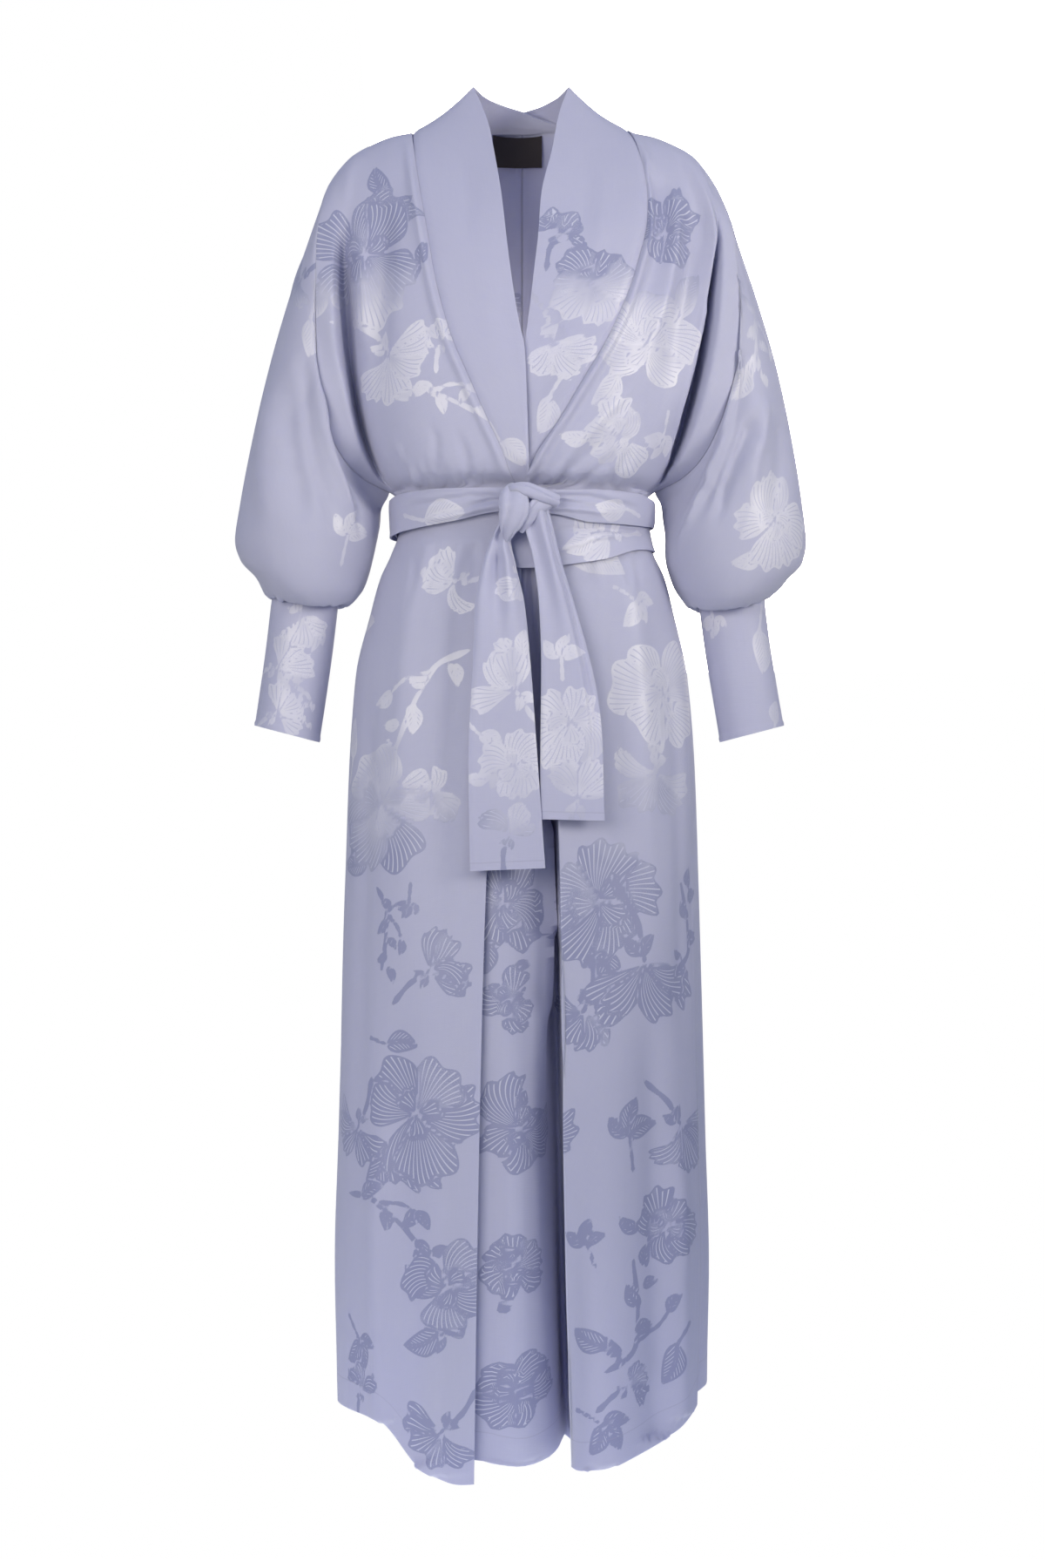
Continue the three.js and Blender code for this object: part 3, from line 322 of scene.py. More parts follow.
PLEAT = Table(
    "z edge crest crestIn turn turnIn deep deepIn fold foldIn",
    (
        (-372, -12, -5, 4, 0, 4, 7, 4, 14, 2),
        (-380, -24, -14, 5, -4, 5, 4, 5, 13, 2),
        (-436, -28, -16, 6, 0, 7, 8, 10, 16, 4),
        (-500, -36, -16, 8, 2, 12, 13, 26, 23, 9),
        (-640, -48, -18, 9, 4, 17, 24, 48, 34, 13),
        (-780, -60, -20, 9, 6, 22, 30, 66, 39, 15),
        (-930, -72, -16, 9, 15, 28, 35, 88, 41, 16),
        (-1090, -82, -12, 9, 23, 34, 39, 108, 43, 16),
        (-1290, -96, -8, 10, 35, 40, 45, 126, 47, 16),
        (-1412, -105, -5, 12, 41, 45, 50, 138, 51, 17),
    ),
)
FRONT_HEM = {
    -1: Table(
        "out z",
        (
            (40, -1408), (52, -1411), (66, -1412), (90, -1405), (110, -1396), (124, -1380),
            (136, -1363), (148, -1352), (182, -1347), (200, -1345),
        ),
    ),
    1: Table(
        "out z",
        (
            (-105, -1386), (-46, -1388), (-2, -1396), (30, -1389), (42, -1381), (52, -1393),
            (60, -1398), (84, -1397), (110, -1388), (138, -1377), (164, -1364), (178, -1352),
            (186, -1341),
        ),
    ),
}
BACK_HEM = {
    -1: Table("turn z", ((0, -1392), (45, -1386), (75, -1362), (100, -1345))),
    1: Table(
        "turn z",
        ((0, -1392), (45, -1384), (70, -1352), (85, -1325), (105, -1328), (118, -1341)),
    ),
}
SLEEVE_COLUMNS = "outerOut outerZ midOut midZ fore aft innerOut innerZ"
SLEEVE = {
    -1: Table(
        SLEEVE_COLUMNS,
        (
            (212, -47, 219, -222, 63, 60, 143, -372),
            (230, -98, 216, -262, 72, 67, 150, -386),
            (252, -163, 216, -300, 78, 73, 152, -394),
            (274, -240, 219, -336, 82, 77, 153, -402),
            (291, -315, 224, -372, 84, 80, 155, -412),
            (303, -380, 230, -408, 84, 80, 158, -426),
            (309, -423, 235, -436, 82, 78, 162, -443),
            (303, -445, 236, -460, 78, 73, 166, -460),
            (286, -464, 233, -482, 69, 65, 171, -477),
            (276, -482, 230, -496, 49, 46, 188, -493),
            (270, -486, 234, -486, 34, 34, 198, -486),
        ),
    ),
    1: Table(
        SLEEVE_COLUMNS,
        (
            (212, -47, 226, -222, 63, 60, 143, -372),
            (230, -98, 221, -262, 72, 67, 150, -386),
            (252, -163, 220, -302, 78, 73, 152, -402),
            (274, -240, 221, -340, 82, 77, 153, -418),
            (290, -315, 224, -376, 84, 80, 154, -434),
            (301, -380, 229, -412, 84, 80, 156, -448),
            (306, -423, 232, -441, 82, 78, 160, -461),
            (303, -446, 233, -464, 78, 73, 165, -474),
            (287, -465, 231, -486, 69, 65, 172, -486),
            (269, -482, 227, -500, 48, 46, 181, -496),
            (262, -486, 226, -486, 34, 34, 190, -486),
        ),
    ),
}
CUFF = {
    -1: Table(
        "z out half deep",
        ((-486, 234, 36, 34), (-540, 240, 35.5, 33), (-590, 247, 35, 33), (-632, 253.5, 34.5, 33)),
    ),
    1: Table(
        "z out half deep",
        ((-486, 226, 36, 34), (-540, 233, 35.5, 33), (-590, 241, 35, 33), (-632, 248, 34.5, 33)),
    ),
}
UPPER_TURN = Table(
    "turn top bottom",
    (
        (-180, -380, -424), (-135, -380, -423), (-90, -382, -421), (-60, -378, -417),
        (-30, -376, -410), (-4, -376, -400), (14, -378, -404), (30, -377, -411),
        (60, -379, -412), (90, -385, -411), (135, -381, -416), (180, -380, -424),
    ),
)
LOWER_TURN = Table(
    "turn top bottom",
    (
        (-180, -384, -426), (-90, -386, -418), (-30, -380, -405), (-10, -381, -400),
        (-1, -382, -460), (30, -390, -451), (60, -392, -437), (90, -394, -436),
        (135, -388, -430), (180, -384, -426),
    ),
)
TAIL = {
    -1: Table(
        "z low high fore bow",
        (
            (-428.2, -31, -12, 110, 4), (-460, -42, -6, 116, 8), (-500, -49, 3, 122, 8),
            (-560, -51, 9, 128, 5), (-660, -55, 16, 133, 3), (-776, -54, 24, 137, 2),
        ),
    ),
    1: Table(
        "z low high fore bow",
        (
            (-410, 2, 30, 114, 5), (-450, 11, 39, 117, 6), (-500, 18, 51, 122, 5),
            (-560, 22, 62, 126, 4), (-650, 24, 76, 130, 3), (-724, 25, 84, 133, 2),
        ),
    ),
}
KNOT_MIDDLE = (-6.0, -104.0, -400.0)
LABEL_PLACE = {"low": -32, "high": 22, "top": 27, "bottom": -8, "off": 1}


# -------------------------------- level sections --------------------------------------


def rounded_box(out: Array, half: Array, reach: Array, square: float) -> Array:
    """Distance to the front of a rounded box at `out` from its middle."""
    share = np.minimum(1, np.abs(out) / half)
    return reach * (1 - share**square) ** (1 / square)


def trunk_point(z: Array, turn: Array) -> Array:
    """Point (out, fore) of the trunk at a turn in degrees from the front."""
    half = TRUNK.read("half", z)
    power = 2 / TRUNK.read("square", z)
    sine, cosine = np.sin(np.radians(turn)), np.cos(np.radians(turn))
    reach = np.where(cosine >= 0, TRUNK.read("fore", z), TRUNK.read("aft", z))
    out = np.sign(sine) * half * np.abs(sine) ** power
    return np.stack([out, np.sign(cosine) * reach * np.abs(cosine) ** power], -1)


def turn_of_out(z: Array, out: Array) -> Array:
    """Turn from the front at which the trunk is `out` from the middle."""
    share = np.minimum(1, np.abs(out) / TRUNK.read("half", z))
    return np.sign(out) * np.degrees(np.arcsin(share ** (TRUNK.read("square", z) / 2)))


def seam_turn(side: Side, z: Array) -> Array:
    """Turn from the front of the side seam."""
    fore = TRUNK.read("seamRight" if side is Side.RIGHT else "seamLeft", z)
    share = (fore / TRUNK.read("fore", z)) ** (TRUNK.read("square", z) / 2)
    return np.degrees(np.arccos(share))


def underlap(side: Side, z: Array, out: Array) -> Array:
    """How far the under front and its band lie behind the upper ones."""
    if side is Side.RIGHT:
        return np.zeros_like(z * out)
    return 5 * ease((50 - out) / 40) * ease((-165 - z) / 50)


TORSO_SHARES = {
    Side.RIGHT: (0, 0.25, 0.5, 0.76),
    Side.LEFT: (0, 0.05, 0.1, 0.15, 0.2, 0.25, 0.31, 0.38, 0.58, 0.79),
}
SHOULDER_SHARES = {
    Side.RIGHT: (0, 0.14, 0.28, 0.43, 0.58, 0.7, 0.85, 1),
    Side.LEFT: (0, 0.03, 0.06, 0.09, 0.12, 0.15, 0.18, 0.22, 0.33, 0.44, 0.58, 0.7, 0.85, 1),
}
SKIRT_SHARES = (0, 0.17, 0.34, 0.5, 0.64, 0.78, 0.89, 1)
PLEAT_FAN = (0.25, 0.5, 0.74, 0.86, 0.93, 1)


def front_bodice(side: Side, z: Array) -> Array:
    """Controls of a front above the underarm, from its neck edge to the armhole."""
    table = FRONT_BODICE[side.value]
    edge = FRONT_EDGE[side.value].read("out", z)
    half, fore, roll = (table.read(name, z) for name in ("half", "fore", "rollOut"))
    controls = []
    for share in TORSO_SHARES[side]:
        out = mix(edge, roll, share)
        reach = rounded_box(out, half, fore, BODICE_SQUARE) - underlap(side, z, out)
        controls.append(np.stack([out, reach], -1))
    for place in ("roll", "valley", "arm", "seam"):
        pair = [table.read(place + "Out", z), table.read(place + "Fore", z)]
        controls.append(np.stack(pair, -1))
    return np.stack(controls)


def front_skirt(side: Side, z: Array) -> Array:
    """Controls of a front below the underarm, from its free edge to the side seam."""
    seam = seam_turn(side, z)
    if side is Side.RIGHT:
        start = turn_of_out(z, FRONT_EDGE[-1].read("out", z))
        return np.stack([trunk_point(z, mix(start, seam, share)) for share in SKIRT_SHARES])

    def behind(out: Array, inward: Array) -> Array:
        """Points under the skirt's surface by `inward`."""
        fore = trunk_point(z, turn_of_out(z, out))[..., 1]
        return np.stack([out, fore - inward], -1)

    names = ("edge", "crest", "crestIn", "turn", "turnIn", "deep", "deepIn", "fold", "foldIn")
    edge, crest, crest_in, turn, turn_in, deep, deep_in, fold, fold_in = (
        PLEAT.read(name, z) for name in names
    )
    slot = 0.5 * ease((-380 - z) / 200)
    start = turn_of_out(z, fold)
    return np.stack(
        [
            behind(edge, 4.5 + crest_in * 0.5),
            behind(mix(edge, crest, 0.55), crest_in + 1),
            behind(crest, crest_in),
            behind(turn, turn_in),
            behind(deep - 5 * slot, deep_in),
            behind(deep + 7 * slot, deep_in),
            behind(fold + 8 * slot, fold_in),
            behind(fold, 1 + 0 * z),
            *[trunk_point(z, mix(start, seam, share)) for share in PLEAT_FAN],
        ]
    )


def front_section(side: Side, z: Array) -> Array:
    """Controls of a front at levels z."""
    return np.where((z >= UNDERARM)[..., None], front_bodice(side, z), front_skirt(side, z))


def back_section(side: Side, z: Array) -> Array:
    """Controls of a back at levels z, from the centre back to its side."""
    get = {name: BACK_BODICE.read(name, z) for name in BACK_BODICE.columns.split()[1:]}
    upper = []
    for share in TORSO_SHARES[Side.RIGHT]:
        out = get["rollOut"] * share
        upper.append(np.stack([out, -rounded_box(out, get["half"], get["aft"], BODICE_SQUARE)], -1))
    for place in ("roll", "valley", "arm", "seam"):
        upper.append(np.stack([get[place + "Out"], -get[place + "Aft"]], -1))
    span = 180 - seam_turn(side, z)
    lower = np.stack([trunk_point(z, 180 - span * share) for share in SKIRT_SHARES])
    return np.where((z >= UNDERARM)[..., None], np.stack(upper), lower)


# ------------------------------------ panels ------------------------------------------

CROWN_SHARES = np.linspace(0, 1, 27)[:-1]
LEVELS = np.concatenate([np.linspace(YOKE, UNDERARM, 69), np.linspace(UNDERARM, HEM, 281)[1:]])
ARMHOLE_ROWS = len(CROWN_SHARES) + 69


def shoulder_height(out: Array) -> Array:
    """Height of the shoulder line at `out` from the middle."""
    return RIDGE.read("z", out)


def panel(side: Side, u: Array, section: Callable[[Side, Array], Array], top: Array, lift: Array,
          hem: Array) -> Array:
    """Grid of a front or back, from the shoulder or neckline down to the hem.

    Args:
        side: The wearer's side.
        u: Share from its front or centre edge to its side, for each column.
        section: Function of (side, levels) that gives section controls.
        top: Points (out, fore, z) of its upper edge.
        lift: First stretch of the curve down from each of those points.
        hem: Level of the hem at each column.

    Returns:
        Points in the frame, (columns, rows, 3).
    """
    flat = np.full((len(u), 1), float(YOKE))
    end = along(section(side, flat), u)[:, 0]
    below = along(section(side, flat - 20), u)[:, 0]
    ones = np.ones((len(u), 1))
    end3 = np.concatenate([end, YOKE * ones], 1)
    tangent = np.concatenate([(end - below) / 20, ones], 1)
    second = end3 + tangent * (0.36 * (top[:, 2:] - YOKE))
    t = CROWN_SHARES[None, :, None]
    s = 1 - t
    corner = [p[:, None] for p in (top, top + lift, second, end3)]
    crown = s**3 * corner[0] + 3 * s * s * t * corner[1] + 3 * s * t * t * corner[2] + t**3 * corner[3]
    fall = np.clip((LEVELS - HEM_FROM) / (HEM - HEM_FROM), 0, None)[None, :]
    z = np.where(fall > 0, mix(HEM_FROM, hem[:, None], fall), LEVELS[None, :] + 0 * hem[:, None])
    lower = along(section(side, z), u)
    lower = np.concatenate([lower, z[..., None]], -1)
    grid = np.concatenate([crown, lower], 1)
    return grid * np.array([side.value, -1, 1])


def share_columns(spans: tuple[int, ...]) -> Array:
    """Column shares with the given number of steps in each span between controls."""
    edges = [k + np.arange(count) / count for k, count in enumerate(spans)]
    return np.append(np.concatenate(edges), len(spans)) / len(spans)


FRONT_SPANS = {
    Side.RIGHT: (15, 15, 14, 13, 12, 12, 11),
    Side.LEFT: (5, 5, 6, 6, 6, 6, 6, 16, 15, 14, 12, 11, 9),
}
BACK_SPANS = (14, 14, 14, 12, 12, 12, 10)


def front_grid(side: Side) -> Array:
    """Grid of one front's outer face."""
    u = share_columns(FRONT_SPANS[side])
    shares = SHOULDER_SHARES[side]
    place = curve(np.linspace(0, 1, len(shares)), np.array(shares), u)
    out = mix(NECK_EDGE[side.value], SHOULDER_TIP, place)
    top = np.stack([out, 0 * out, shoulder_height(out)], -1)
    lean = 12 * (1 - u) if side is Side.LEFT else 0 * u
    lift = np.stack([lean, 30 + 0 * u, -5 + 0 * u], -1)
    bottom = along(front_section(side, np.full((len(u), 1), float(HEM))), u)[:, 0, 0]
    return panel(side, u, front_section, top, lift, FRONT_HEM[side.value].read("z", bottom))


def neckline(side: Side, turn: Array) -> Array:
    """Points (out, fore, z) of the back neckline, by turn from the centre back."""
    sine, cosine = np.sin(np.radians(turn)), np.cos(np.radians(turn))
    edge = np.where(turn < 0, NECK_EDGE[-side.value], NECK_EDGE[side.value])
    height = mix(shoulder_height(edge), BACK_NECK_HEIGHT, cosine * cosine)
    return np.stack([edge * sine, -BACK_NECK_DEPTH * cosine, height], -1)


def back_grid(side: Side) -> Array:
    """Grid of one back's outer face."""
    u = share_columns(BACK_SPANS)
    turn = np.minimum(90, 90 * u / NECK_SHARE)
    edge = NECK_EDGE[side.value]
    out = mix(edge, SHOULDER_TIP, np.clip((u - NECK_SHARE) / (1 - NECK_SHARE), 0, 1))
    on_shoulder = np.stack([out, 0 * out, shoulder_height(out)], -1)
    top = np.where((u <= NECK_SHARE)[:, None], neckline(side, turn), on_shoulder)
    spread = ease(turn / 90)
    lift = np.stack([0 * u, mix(-6, -30, spread), mix(-34, -5, spread)], -1)
    bottom = along(back_section(side, np.full((len(u), 1), float(HEM))), u)[:, 0]
    hem_turn = np.degrees(np.arctan2(bottom[:, 0], -bottom[:, 1]))
    return panel(side, u, back_section, top, lift, BACK_HEM[side.value].read("z", hem_turn))


def torso_fore(side: Side, z: Array, out: Array) -> Array:
    """Distance to the front of the bodice at `out` from the middle."""
    table = FRONT_BODICE[side.value]
    reach = rounded_box(out, table.read("half", z), table.read("fore", z), BODICE_SQUARE)
    return reach - underlap(side, z, out)


def band_grid(side: Side, front: Array) -> Array:
    """Grid of one neck band half, from its end behind the neck to the waist.

    Args:
        side: The wearer's side.
        front: Grid of the front that it is sewn to.

    Returns:
        Points in the frame, (columns, rows, 3).
    """
    sign = np.array([side.value, -1, 1])
    table = BACK_BAND[side.value]
    names = table.columns.split()
    end = dict(zip(names, (90, BAND_EDGE[side.value].rows[0][1], -4, COLLAR_TOP, 0, 0)))
    knots = np.arange(len(table.rows) + 1)
    at = np.linspace(0, len(table.rows), 56)[:-1]
    turn, out, aft, z, lift, rise = (
        curve(knots, np.append(table.column(name), end[name]), at) for name in names
    )
    seam = neckline(side, turn) + np.stack([0 * lift, -lift, rise], -1)
    free = np.stack([out, -aft, z], -1)
    edge = front[0, :ARMHOLE_ROWS] * sign
    top = shoulder_height(NECK_EDGE[side.value])
    level = edge[:, 2] + ease((edge[:, 2] - YOKE) / (top - YOKE)) * (COLLAR_TOP - top)
    side_out, side_fore = (BAND_EDGE[side.value].read(name, level) for name in ("out", "fore"))
    side_fore = side_fore - underlap(side, level, side_out)
    seam = np.concatenate([seam, edge])
    free = np.concatenate([free, np.stack([side_out, side_fore, level], -1)])
    share = np.linspace(0, 1, 18)[:, None]
    grid = seam[None] + (free - seam)[None] * share[..., None]
    level = grid[..., 2]
    chord = mix(torso_fore(side, seam[:, 2], seam[:, 0]), torso_fore(side, free[:, 2], free[:, 0]), share)
    sag = torso_fore(side, level, grid[..., 0]) - chord
    grid[..., 1] += sag * ease((-50 - level) / 65)
    hollow = 5 * np.sin(np.pi * share) * ease(np.arange(grid.shape[1]) / 12)
    grid[..., 2] -= hollow * ease((level - YOKE) / 60)
    return grid * sign


def armhole(front: Array, back: Array) -> tuple[Array, Array]:
    """Loop of points round an armhole with their angles, from the top over the front.

    Args:
        front: Grid of the front.
        back: Grid of the back.

    Returns:
        The points, (count, 3), and the angle of each round the sleeve.
    """

    def angles(points: Array) -> Array:
        """Angle of each point from the top of the armhole to its lowest place."""
        steps = np.linalg.norm(np.diff(points, axis=0), axis=1)
        length = np.concatenate([[0], np.cumsum(steps)])
        return math.pi * length / length[-1]

    fore, aft = front[-1, :ARMHOLE_ROWS], back[-1, :ARMHOLE_ROWS]
    points = np.concatenate([fore, aft[-2:0:-1]])
    return points, np.concatenate([angles(fore), -angles(aft)[-2:0:-1]])


def four_point_ring(table: Table, at: Array, angle: Array) -> Array:
    """Points (out, fore, z) of sleeve rings, by row number and angle."""
    get = {name: table.step(name, at) for name in table.columns.split()}
    outer = np.stack([get["outerOut"], 0 * at, get["outerZ"]], -1)
    inner = np.stack([get["innerOut"], 0 * at, get["innerZ"]], -1)
    front = np.stack([get["midOut"], get["fore"], get["midZ"]], -1)
    back = np.stack([get["midOut"], -get["aft"], get["midZ"]], -1)
    turn = angle[..., None]
    across = (outer - inner) / 2 * np.cos(turn) + (front - back) / 2 * np.sin(turn)
    return (outer + inner + front + back) / 4 + across + (outer + inner - front - back) / 4 * np.cos(2 * turn)


def sleeve_grid(side: Side, points: Array, angles: Array) -> Array:
    """Grid of one sleeve's outer face, from the armhole to the cuff."""
    table = SLEEVE[side.value]
    at = np.concatenate([np.linspace(0, 7, 84), np.linspace(7, 10, 30)[1:]])
    rows = np.broadcast_to(at, (len(angles), len(at)))
    turn = np.broadcast_to(angles[:, None], rows.shape)
    ring = four_point_ring(table, rows, turn)
    first = four_point_ring(table, 0 * rows, turn)
    fade = np.maximum(0, 1 - at / 6)[None, :, None] ** 2
    own = points * np.array([side.value, -1, 1])
    return (ring + fade * (own[:, None] - first)) * np.array([side.value, -1, 1])


def cuff_grid(side: Side, angles: Array) -> Array:
    """Grid of one cuff's outer face."""
    table = CUFF[side.value]
    last = len(table.rows) - 1
    at = np.linspace(0, last, 40)[None, :] + 0 * angles[:, None]
    turn = angles[:, None] + 0 * at
    z = table.step("z", at) + CUFF_SLANT * at / last * np.cos(turn)
    out = table.step("out", at) + table.step("half", at) * np.cos(turn)
    return np.stack([side.value * out, -table.step("deep", at) * np.sin(turn), z], -1)


def off_trunk(z: Array, turn: Array, off: Array) -> Array:
    """Point (x, fore) of the trunk moved out by `off`, square to its section."""
    before, here, after = (trunk_point(z, turn + step) for step in (-1, 0, 1))
    run = unit(after - before)
    return here + np.stack([-run[..., 1], run[..., 0]], -1) * np.asarray(off)[..., None]


def belt_grid(table: Table, off: float, bulge: float, rows: int) -> Array:
    """Grid of one turn of the belt, with its long edges rolled.

    Args:
        table: Upper and lower edge by turn.
        off: Distance of its outer face from the cloth beneath.
        bulge: How far the middle of the belt stands out further than its edges.
        rows: Number of rows from edge to edge.

    Returns:
        Points in the frame, (columns, rows, 3).
    """
    turn = np.linspace(-180, 180, 321)[:-1, None]
    share = np.linspace(0, 1, rows)[None, :]
    top, bottom = table.read("top", turn), table.read("bottom", turn)
    z = mix(top, bottom, share)
    rounding = 1 - np.abs(2 * share - 1) ** 3
    x, fore = np.moveaxis(off_trunk(z, turn + 0 * share, off + bulge * rounding + 0 * z), -1, 0)
    return np.stack([x, -fore, z], -1)


# ----------------------------------- sheets -------------------------------------------


@dataclass(frozen=True)
class Crease:
    """A soft fold along a route on one face of a piece.

    A depth above zero stands up and one below zero sinks.
    """

    route: Route
    width: float
    depth: float
    behind: bool = False
    fade: tuple[float, float] = (0.25, 0.3)


@dataclass
class Sheet:
    """One piece of cloth, as a grid of points on its outer face."""

    grid: Array
    turned: int
    ring: bool = False

    def directions(self) -> Array:
        """Outward direction at each point."""
        g = self.grid
        if self.ring:
            across = np.roll(g, -1, 0) - np.roll(g, 1, 0)
        else:
            across = np.gradient(g, axis=0)
        return unit(np.cross(across, np.gradient(g, axis=1)) * self.turned)

    def across(self) -> Array:
        """Length along the cloth from the first column."""
        steps = np.linalg.norm(np.diff(self.grid, axis=0), axis=-1)
        return np.concatenate([np.zeros((1, self.grid.shape[1])), np.cumsum(steps, 0)])

    def down(self) -> Array:
        """Length along the cloth from the first row."""
        steps = np.linalg.norm(np.diff(self.grid, axis=1), axis=-1)
        return np.concatenate([np.zeros((self.grid.shape[0], 1)), np.cumsum(steps, 1)], 1)

    def soften(self, passes: int) -> None:
        """Evens out curvature across the cloth, with the edge columns kept."""
        for _ in range(passes):
            if self.ring:
                side = np.roll(self.grid, 1, 0) + np.roll(self.grid, -1, 0)
                self.grid = self.grid / 2 + side / 4
            else:
                inner = self.grid[:-2] / 4 + self.grid[1:-1] / 2 + self.grid[2:] / 4
                self.grid = np.concatenate([self.grid[:1], inner, self.grid[-1:]])

    def push(self, amount: Array) -> None:
        """Moves each point out by its own amount."""
        self.grid = self.grid + self.directions() * amount[..., None]

    def crease_depth(self, creases: tuple[Crease, ...]) -> Array:
        """Sum of the listed creases at each point.

        Args:
            creases: Folds with routes in (x, z).

        Returns:
            How far each point moves out, (columns, rows).
        """
        normals = self.directions()
        points = self.grid.reshape(-1, 3)
        faces = normals.reshape(-1, 3)
        total = np.zeros(len(points))
        for crease in creases:
            count = 24
            legs = np.array(crease.route, float)
            knots = np.linspace(0, 1, len(legs))
            at = np.linspace(0, 1, count)
            wanted = np.stack([curve(knots, legs[:, 0], at), curve(knots, legs[:, 1], at)], -1)
            facing = faces[:, 1] if crease.behind else -faces[:, 1]
            front = points[:, 1] if crease.behind else -points[:, 1]
            offset = (points[None, :, 0] - wanted[:, :1]) ** 2 + (points[None, :, 2] - wanted[:, 1:]) ** 2
            cost = offset - 2 * front[None] + np.where(facing > -0.1, 0, 4000)[None]
            nodes = points[np.argmin(cost, 1)]
            low, high = nodes.min(0) - 3.5 * crease.width, nodes.max(0) + 3.5 * crease.width
            near = np.flatnonzero(np.all((points > low) & (points < high), 1))
            if not len(near):
                continue
            start, run = nodes[:-1], np.diff(nodes, axis=0)
            to = points[near][:, None] - start[None]
            size = np.maximum((run**2).sum(-1), 1e-6)
            t = np.clip((to * run).sum(-1) / size, 0, 1)
            gap = np.linalg.norm(to - t[..., None] * run, axis=-1)
            best = np.argmin(gap, 1)
            rows = np.arange(len(near))
            gap, t = gap[rows, best], (best + t[rows, best]) / (count - 1)
            fade = ease(t / max(crease.fade[0], 1e-6)) * ease((1 - t) / max(crease.fade[1], 1e-6))
            shape = np.exp(-((gap / crease.width) ** 2))
            total[near] += crease.depth * fade * shape
        return total.reshape(self.grid.shape[:2])

    def ripple(self, seed: int, size: float, amount: float) -> Array:
        """Slow, uneven swell of hung cloth.

        Args:
            seed: Seed of its waves.
            size: Shortest wave in millimetres.
            amount: Height of the waves.

        Returns:
            How far each point moves out, (columns, rows).
        """
        dice = np.random.default_rng(seed)
        u, v = self.across(), self.down()
        total = np.zeros(u.shape)
        for _ in range(7):
            wave = size * dice.uniform(1, 2.4)
            turn = dice.normal(0, 0.35)
            phase = dice.uniform(0, 2 * math.pi)
            total += np.sin(2 * math.pi * (u * math.cos(turn) + v * math.sin(turn) * 0.5) / wave + phase)
        return amount * total / 7**0.5


def gathers(seed: int, count: int, x: tuple[float, float], z: float, reach: tuple[float, float],
            depth: float, behind: bool = False) -> tuple[Crease, ...]:
    """Uneven small folds that run up or down from a drawn-in line.

    Args:
        seed: Seed of their places and lengths.
        count: Number of folds.
        x: Lowest and highest place along the line.
        z: Level of the line.
        reach: Shortest and longest fold; below zero they run down.
        depth: Deepest fold.
        behind: Whether they are on the back face.

    Returns:
        The folds.
    """
    dice = np.random.default_rng(seed)
    folds = []
    for k in range(count):
        at = mix(x[0], x[1], (k + dice.uniform(0.15, 0.85)) / count)
        length = dice.uniform(*sorted(reach))
        lean = dice.normal(0, 0.12) * abs(length) + 0.08 * at * abs(length) / 60
        route = ((at, z), (at + lean * 0.5, z + length * 0.5), (at + lean, z + length))
        size = dice.uniform(3.2, 6.5)
        folds.append(Crease(route, size, -depth * dice.uniform(0.45, 1), behind, fade=(0.02, 0.7)))
    return tuple(folds)


@dataclass(frozen=True)
class Tuck:
    """Seam allowance along one edge of a sheet, which goes in under the next piece."""

    axis: int
    first: bool
    reach: float = 3.0
    depth: float = 1.2

    def lengthen(self, sheet: Sheet) -> None:
        """Adds a line of points to the sheet."""
        grid = np.moveaxis(sheet.grid, self.axis, 0)
        normal = np.moveaxis(sheet.directions(), self.axis, 0)
        edge, beside = (0, 1) if self.first else (-1, -2)
        away = unit(grid[edge] - grid[beside])
        line = (grid[edge] + away * self.reach - normal[edge] * self.depth)[None]
        grid = np.concatenate([line, grid] if self.first else [grid, line])
        sheet.grid = np.moveaxis(grid, 0, self.axis)

    def stretch(self, trait: Array) -> Array:
        """Adds the same line to a trait."""
        pads = [(0, 0)] * trait.ndim
        pads[self.axis] = (1, 0) if self.first else (0, 1)
        return np.pad(trait, pads, mode="edge")


@dataclass
class Shell:
    """Closed thin wall of cloth on a sheet, made into a mesh."""

    name: str
    sheet: Sheet
    wall: float

    def make(self, traits: dict[str, Array]) -> bpy.types.Object:
        """Builds the mesh with its traits stored at the points of both faces.

        Args:
            traits: Name and (columns, rows, 3) values of each trait.

        Returns:
            The new object, linked to the scene.
        """
        outer = self.sheet.grid
        inner = outer - self.sheet.directions() * self.wall
        columns, rows = outer.shape[:2]
        count = columns * rows
        place = np.arange(count).reshape(columns, rows)
        after = np.roll(place, -1, 0) if self.sheet.ring else place[1:]
        here = place if self.sheet.ring else place[:-1]
        a, b, c, d = here[:, :-1], after[:, :-1], after[:, 1:], here[:, 1:]
        faces = [np.stack([a, b, c, d], -1), np.stack([a, d, c, b], -1) + count]
        ends = [(here[:, 0], after[:, 0]), (after[:, -1], here[:, -1])]
        if not self.sheet.ring:
            ends += [(place[0, 1:], place[0, :-1]), (place[-1, :-1], place[-1, 1:])]
        faces += [np.stack([p, p + count, q + count, q], -1) for p, q in ends]
        quads = np.concatenate([f.reshape(-1, 4) for f in faces])
        if self.sheet.turned < 0:
            quads = quads[:, ::-1]
        points = np.concatenate([outer.reshape(-1, 3), inner.reshape(-1, 3)]) * MM
        made = mesh_object(self.name, points, quads)
        for name, values in traits.items():
            both = np.tile(values.reshape(-1, 3), (2, 1)).astype(np.float32)
            made.data.attributes.new(name, "FLOAT_VECTOR", "POINT").data.foreach_set("vector", both.ravel())
        return made


